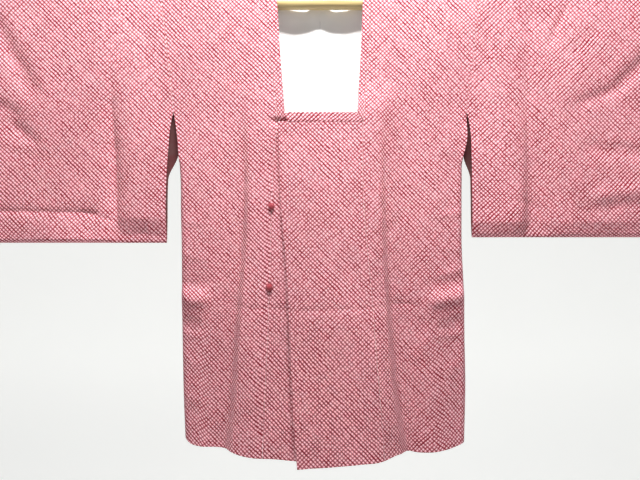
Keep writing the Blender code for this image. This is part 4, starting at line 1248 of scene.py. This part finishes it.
class CoatCloth(bpy.types.PropertyGroup):
    """Sizes of the cloth and of the dots that are tied and dyed into it."""

    thickness: length("Cloth", "Thickness of the silk with its lining", 0.0013, 0.0005, 0.002)
    band_thickness: length("Neckband", "Thickness of the folded neckband", 0.0026, 0.001, 0.003)
    lining_thickness: length("Lining", "Thickness of the white lining alone", 0.0006, 0.0003, 0.001)
    unevenness: amount("Unevenness", "How strongly the hanging cloth waves", 1.0, 0.0, 2.0)
    dot_pitch: length("Dot pitch", "From one row of tied dots to the next", 0.00572, 0.003, 0.02)
    dot_share: amount("Dot size", "Width of a dot as a share of the pitch", 0.72, 0.3, 0.95)
    dot_jitter: amount("Dot jitter", "How far dots stray, as a share of the pitch", 0.16, 0.0, 0.5)
    wander: length("Wander", "How far the rows of dots wander", 0.0045, 0.0, 0.02)
    pucker: length("Pucker", "Height of the peak that tying leaves in each dot", 0.0009, 0.0, 0.003)


class CoatColours(bpy.types.PropertyGroup):
    """Colours of the coat, its buttons and the rod."""

    crimson: tint("Crimson", "The dyed ground between the dots", (0.27, 0.006, 0.021))
    crimson_deep: tint("Deep crimson", "The ground where it took more dye", (0.16, 0.001, 0.008))
    dot_pale: tint("Pale dot", "Rim of the palest dots", (1.0, 0.50, 0.56))
    dot_deep: tint("Pink dot", "Rim of the pinkest dots", (0.98, 0.39, 0.455))
    # A dot's middle is pale partly where the silk took least dye and partly as a painted highlight
    dot_core_highlight: tint("Dot core", "Middle of a dot, where the silk took least dye", (1.0, 0.69, 0.74))
    # The facing's dusky grey-brown is painted shade for the shadow seen through the vents and
    # sleeve openings
    facing_shade: tint("Facing", "Plain silk inside the openings", (0.135, 0.105, 0.100))
    # The lining's cream tint is painted warm bounce light from the tan rod; the silk itself is
    # white
    lining: tint("Lining", "White lining silk", (1.0, 0.88, 0.80))
    lining_shade: tint("Lining shade", "Its slightly cream parts", (0.94, 0.875, 0.815))
    button: tint("Button", "Crimson cord", (0.30, 0.014, 0.028))
    # The lighter colour of the raised threads is a painted highlight
    button_thread_highlight: tint("Button light", "Raised threads of the cord", (0.50, 0.045, 0.070))
    rod: tint("Rod", "Tan cane", (0.58, 0.44, 0.19))
    rod_shade: tint("Rod shade", "Darker fibres of the cane", (0.40, 0.28, 0.11))


class CoatStage(bpy.types.PropertyGroup):
    """Camera, lights and backdrop."""

    lens: bpy.props.FloatProperty(
        name="Lens", description="Focal length", default=43.875, min=10, max=200, unit="CAMERA"
    )
    camera_distance: length("Camera distance", "From the rod's upright plane", 1.53, 0.5, 10)
    camera_height: length("Camera height", "Below or above the rod", -0.4639, -3, 3)
    floor_height: length("Floor", "Below the rod", -2.6, -4, -0.9)
    key_power: amount("Key light", "Power of the light above the front", 44.5, 0, 1000)
    back_power: amount("Back light", "Power of the light above the back", 40.0, 0, 1000)
    sky: amount("Sky", "Strength of the light from all round", 0.31, 0, 5)
    backdrop: tint("Backdrop", "Pale paper", (0.86, 0.865, 0.85))
    backdrop_glow: amount("Backdrop glow", "Light that the backdrop gives by itself", 0.42, 0, 2)


class COAT_OT_stage(bpy.types.Operator):
    """Add the camera, the soft lights and the pale floor that sweeps up behind the coat"""

    bl_idname = "coat.add_stage"
    bl_label = "Stage"

    def execute(self, context):
        scene, stage = context.scene, context.scene.coat_stage
        scene.camera = link(bpy.data.objects.new("camera", bpy.data.cameras.new("camera")))
        scene.camera.data.lens = stage.lens
        scene.camera.data.sensor_width = 36.0
        scene.camera.location = (0.0, -stage.camera_distance, stage.camera_height)
        scene.camera.rotation_euler = (math.radians(90), 0.0, 0.0)
        self.add_light("key_light", (0.02, -0.55, 0.85), (0.75, 0.13), stage.key_power)
        self.add_light("back_light", (-0.5, 1.7, 1.3), (0.8, 0.8), stage.back_power)
        self.add_floor(stage)
        scene.world = self.sky(stage)
        scene.view_settings.view_transform = "Standard"
        return {"FINISHED"}

    def add_light(self, name, place, size, power):
        """A rectangle of light that faces a point below the middle of the rod."""
        light = bpy.data.lights.new(name, "AREA")
        light.shape, light.energy = "RECTANGLE", power
        light.size, light.size_y = size
        lamp = link(bpy.data.objects.new(name, light))
        lamp.location = place
        x, y, z = np.array((0.0, 0.0, -0.30)) - np.array(place)
        lamp.rotation_euler = (math.atan2(math.hypot(x, y), -z), 0, math.atan2(-x, y))

    def add_floor(self, stage):
        """A profile of a level floor, a quarter circle and an upright wall, carried along X."""
        half_width, bend, far, near, top = 7.0, 1.2, 4.6, -6.0, 3.5
        turn = np.radians(np.linspace(0, 90, 25))
        y = np.concatenate(((near,), far - bend + bend * np.sin(turn), (far,)))
        z = np.concatenate(((0.0,), bend - bend * np.cos(turn), (top,))) + stage.floor_height
        grid = xyz(np.array((-half_width, half_width))[:, None], y, z)
        mesh = mesh_from("floor", grid.reshape(-1, 3), grid_faces(whole(grid, True)))
        mesh.materials.append(finish("backdrop_paper", stage_finish, tuple(stage.backdrop)))
        link(bpy.data.objects.new("floor", mesh))

    def sky(self, stage):
        """Light from all round, brighter from above than from below."""
        g = Graph(bpy.data.worlds.new("soft_sky"), "Background")
        height = g.parts(g.add("TexCoord", output="Generated"))[2]
        share = g.add("MapRange", {0: height, 1: -1.0, 2: 1.0, 3: 0.80, 4: 1.20})
        return g.finish(Color=(0.985, 0.99, 1.0), Strength=g.math("MULTIPLY", share, stage.sky))


class COAT_OT_rod(bpy.types.Operator):
    """Add the round tan rod, with softly rounded ends"""

    bl_idname = "coat.add_rod"
    bl_label = "Rod"

    def execute(self, context):
        """A profile of radius against length, turned about X: a bar with quarter-round ends."""
        turn = np.radians(np.linspace(90, 0, 7))[1:]
        half, inner = ROD_LENGTH / 2, ROD_RADIUS - ROD_ROUND
        end, rim = half - ROD_ROUND + ROD_ROUND * np.sin(turn), inner + ROD_ROUND * np.cos(turn)
        ends, hubs = (half, half), (0.0, ROD_HUB)
        x = np.concatenate((ends, end, np.linspace(0.69, -0.69, 24), -end[::-1], (-half, -half)))
        radius = np.concatenate((hubs, rim, np.full(24, ROD_RADIUS), rim[::-1], hubs[::-1]))
        turn = around(64)
        points = xyz(x[:, None], radius[:, None] * np.cos(turn), radius[:, None] * np.sin(turn))
        mesh = mesh_from("tan_rod", points.reshape(-1, 3), ring_faces(len(x), 64))
        close_poles(mesh)
        add_piece("tan_rod", mesh, (finish("tan_cane", rod_finish),), ("hanging_rod",))
        return {"FINISHED"}


class COAT_OT_body(bpy.types.Operator):
    """Add the two body panels, each one length of silk with a pleat in front"""

    bl_idname = "coat.add_body"
    bl_label = "Body"

    def execute(self, context):
        cloth = context.scene.coat_cloth
        for side, word, lean in ((LEFT, "left", 0.25), (RIGHT, "right", 0.75)):
            panel = body_panel(side)
            height = panel.grid[:-1, -1, 2]
            inside = whole(panel.grid, 1)
            inside[height < -HEM_FACING] = 0
            # The inside of the body at the vent gets the dusky facing, which is painted shade
            inside[(height > -VENT_FOOT) & (height < -ARMHOLE_DEPTH), -VENT_SHADE_COLUMNS:] = 2
            mesh = wall(
                "silk_body_" + word, panel.grid, side is LEFT, cloth.thickness, cells=panel.cells,
                seams=panel.seams, inside=inside, row=panel.shoulder, column=panel.neck,
                way=side.sign,
            )
            piece = add_cloth("silk_body_" + word, "body_" + word, mesh, lean)
        return {"FINISHED"}


class COAT_OT_sleeves(bpy.types.Operator):
    """Add the two sleeves, each one length of silk over the rod, closed below the cuff"""

    bl_idname = "coat.add_sleeves"
    bl_label = "Sleeves"

    def execute(self, context):
        cloth = context.scene.coat_cloth
        for side, word, lean in ((LEFT, "left", -0.15), (RIGHT, "right", 0.6)):
            grid, seams, shoulder = sleeve_grid(side)
            out, height = np.abs(grid[:-1, :-1, 0]), grid[:-1, :-1, 2]
            inside = np.where(out > SLEEVE_END - CUFF_FACING, 0, 1)
            # The inside beside a sleeve's open inner edge gets the dusky facing, which is painted
            # shade
            inner_edge = along(side.furi, height) + SLEEVE_SHADE_WIDTH
            inside[(out < inner_edge) & (height < -ARMHOLE_DEPTH)] = 2
            mesh = wall(
                "silk_sleeve_" + word, grid, side is LEFT, cloth.thickness, seams=seams,
                inside=inside, row=shoulder, way=side.sign, shift=(0.0013, 0.0021),
            )
            piece = add_cloth("silk_sleeve_" + word, "sleeve_" + word, mesh, lean)
        return {"FINISHED"}


class COAT_OT_front_bands(bpy.types.Operator):
    """Add the two straight panels that lap over each other down the front"""

    bl_idname = "coat.add_front_bands"
    bl_label = "Front bands"

    def execute(self, context):
        cloth = context.scene.coat_cloth
        layers = ((LEFT, "left", "outer", 0.35), (RIGHT, "right", "under", 0.7))
        for side, word, layer, lean in layers:
            grid = front_band(side)
            inside = whole(grid, 1)
            inside[:, -BAND_FACING[1] :] = inside[-BAND_FACING[0] :] = 0
            mesh = wall(
                "silk_band_" + layer, grid, side is LEFT, cloth.thickness, way=-side.sign, down=-1,
                seams=FIRST_COLUMN, inside=inside, shift=(0.0017, 0.0009),
            )
            piece = add_cloth("silk_band_" + layer, "front_band_" + layer, mesh, lean)
        return {"FINISHED"}


class COAT_OT_neckband(bpy.types.Operator):
    """Add the folded band that frames the square neck, in five mitred lengths"""

    bl_idname = "coat.add_neckband"
    bl_label = "Neckband"

    def execute(self, context):
        for side, word, layer in ((LEFT, "left", "outer"), (RIGHT, "right", "under")):
            self.add(
                "band_foot_" + layer, "neckband_" + layer, neckband_run(side), flat=(0.15, 0.02),
                lean=-0.8, flip=side is LEFT, way=-side.sign, down=-1,
            )
            self.add(
                "band_side_" + word, "neckband_" + word, neckband_side(side), flat=(0.02, 0.29),
                lean=0.4, flip=side is LEFT, way=side.sign, seams=LAST_COLUMN,
            )
        self.add(
            "band_back", "neckband_back", neckband_back(), flat=(0.20, 0.023), lean=0.4, inner=1,
            flip=False,
        )
        return {"FINISHED"}

    def add(self, name, node, grid, flat, lean, inner=0, **layout):
        """Adds one length of the band. inner is the material of its inner face."""
        layout["thickness"] = bpy.context.scene.coat_cloth.band_thickness
        mesh = wall("silk_" + name, grid, row=-1, inside=whole(grid, inner), **layout)
        piece = add_cloth("silk_" + name, node, mesh, lean)


class COAT_OT_lining(bpy.types.Operator):
    """Add the white silk lining of the back, which shows through the neck"""

    bl_idname = "coat.add_lining"
    bl_label = "Back lining"

    def execute(self, context):
        cloth = context.scene.coat_cloth
        for side, word in ((LEFT, "left"), (RIGHT, "right")):
            grid, cells = back_lining(side, cloth.thickness)
            mesh = wall(
                "white_back_" + word, grid, side is LEFT, cloth.lining_thickness, cells=cells,
                way=side.sign, seams=FIRST_COLUMN,
            )
            silk, node = finish("white_silk", white_silk), "back_lining_" + word
            piece = add_piece("white_back_" + word, mesh, (silk, silk), (node,))
        return {"FINISHED"}


class COAT_OT_buttons(bpy.types.Operator):
    """Add the two small crimson knot buttons on the seam of the under front"""

    bl_idname = "coat.add_buttons"
    bl_label = "Buttons"

    def execute(self, context):
        for name, height in zip(("upper", "lower"), BUTTON_HEIGHTS):
            mesh = mesh_from("knot_button_" + name, *self.knot(height))
            cord = finish("crimson_cord", crimson_cord)
            add_piece("knot_button_" + name, mesh, (cord,), ("button_" + name,))
        return {"FINISHED"}

    def knot(self, height):
        """A cord that circles a dome four times while it goes in and out five times.

        Its height over the cloth follows the dome, raised and lowered where it crosses itself.
        """
        out = along(RIGHT.band_seam, height)
        seat = (-out, -band_depth(RIGHT, out, height) - 2 * SEAM_GAP, sunk(RIGHT, out, height))
        t = around(480)
        polar = np.clip(0.58 + 0.42 * np.cos(5 * t), 0.05, 1) * math.pi / 2
        crossing = 0.00055 * np.cos(10 * t + 0.6)
        radius = (BUTTON_RADIUS - CORD) * np.sin(polar)
        rise = (BUTTON_HEIGHT - 2.4 * CORD) * np.cos(polar)
        path = xyz(radius * np.cos(4 * t), -rise - crossing - CORD, radius * np.sin(4 * t))
        cord, faces = looped_cord(path, CORD, 10)
        up, turn = np.radians(np.linspace(0, 88, 9))[:, None], around(24)
        across = CORE_RADIUS * np.cos(up)
        core = xyz(across * np.cos(turn), -CORE_HEIGHT * np.sin(up), across * np.sin(turn))
        points = np.concatenate((cord, core.reshape(-1, 3))) + np.array(seat)
        return points, np.concatenate((faces, ring_faces(9, 24) + len(cord)))


class VIEW3D_PT_coat(bpy.types.Panel):
    """Lists the coat's pieces with the sizes and colours behind them"""

    bl_label = "Michiyuki coat"
    bl_space_type = "VIEW_3D"
    bl_region_type = "UI"
    bl_category = "Coat"

    def draw(self, context):
        for operator in OPERATORS:
            self.layout.operator(operator.bl_idname)
        for name, group in GROUPS:
            box = self.layout.box()
            for setting in group.__annotations__:
                box.prop(getattr(context.scene, name), setting)


GROUPS = (("coat_cloth", CoatCloth), ("coat_colours", CoatColours), ("coat_stage", CoatStage))
OPERATORS = (
    COAT_OT_stage, COAT_OT_rod, COAT_OT_body, COAT_OT_sleeves, COAT_OT_front_bands,
    COAT_OT_neckband, COAT_OT_lining, COAT_OT_buttons,
)


def register():
    for name, group in GROUPS:
        bpy.utils.register_class(group)
        setattr(bpy.types.Scene, name, bpy.props.PointerProperty(type=group))
    for operator in OPERATORS:
        bpy.utils.register_class(operator)
    bpy.utils.register_class(VIEW3D_PT_coat)


def unregister():
    bpy.utils.unregister_class(VIEW3D_PT_coat)
    for operator in reversed(OPERATORS):
        bpy.utils.unregister_class(operator)
    for name, group in reversed(GROUPS):
        delattr(bpy.types.Scene, name)
        bpy.utils.unregister_class(group)


def main():
    register()
    bpy.ops.coat.add_stage()
    bpy.ops.coat.add_rod()
    bpy.ops.coat.add_body()
    bpy.ops.coat.add_sleeves()
    bpy.ops.coat.add_front_bands()
    bpy.ops.coat.add_neckband()
    bpy.ops.coat.add_lining()
    bpy.ops.coat.add_buttons()


if __name__ == "__main__":
    main()
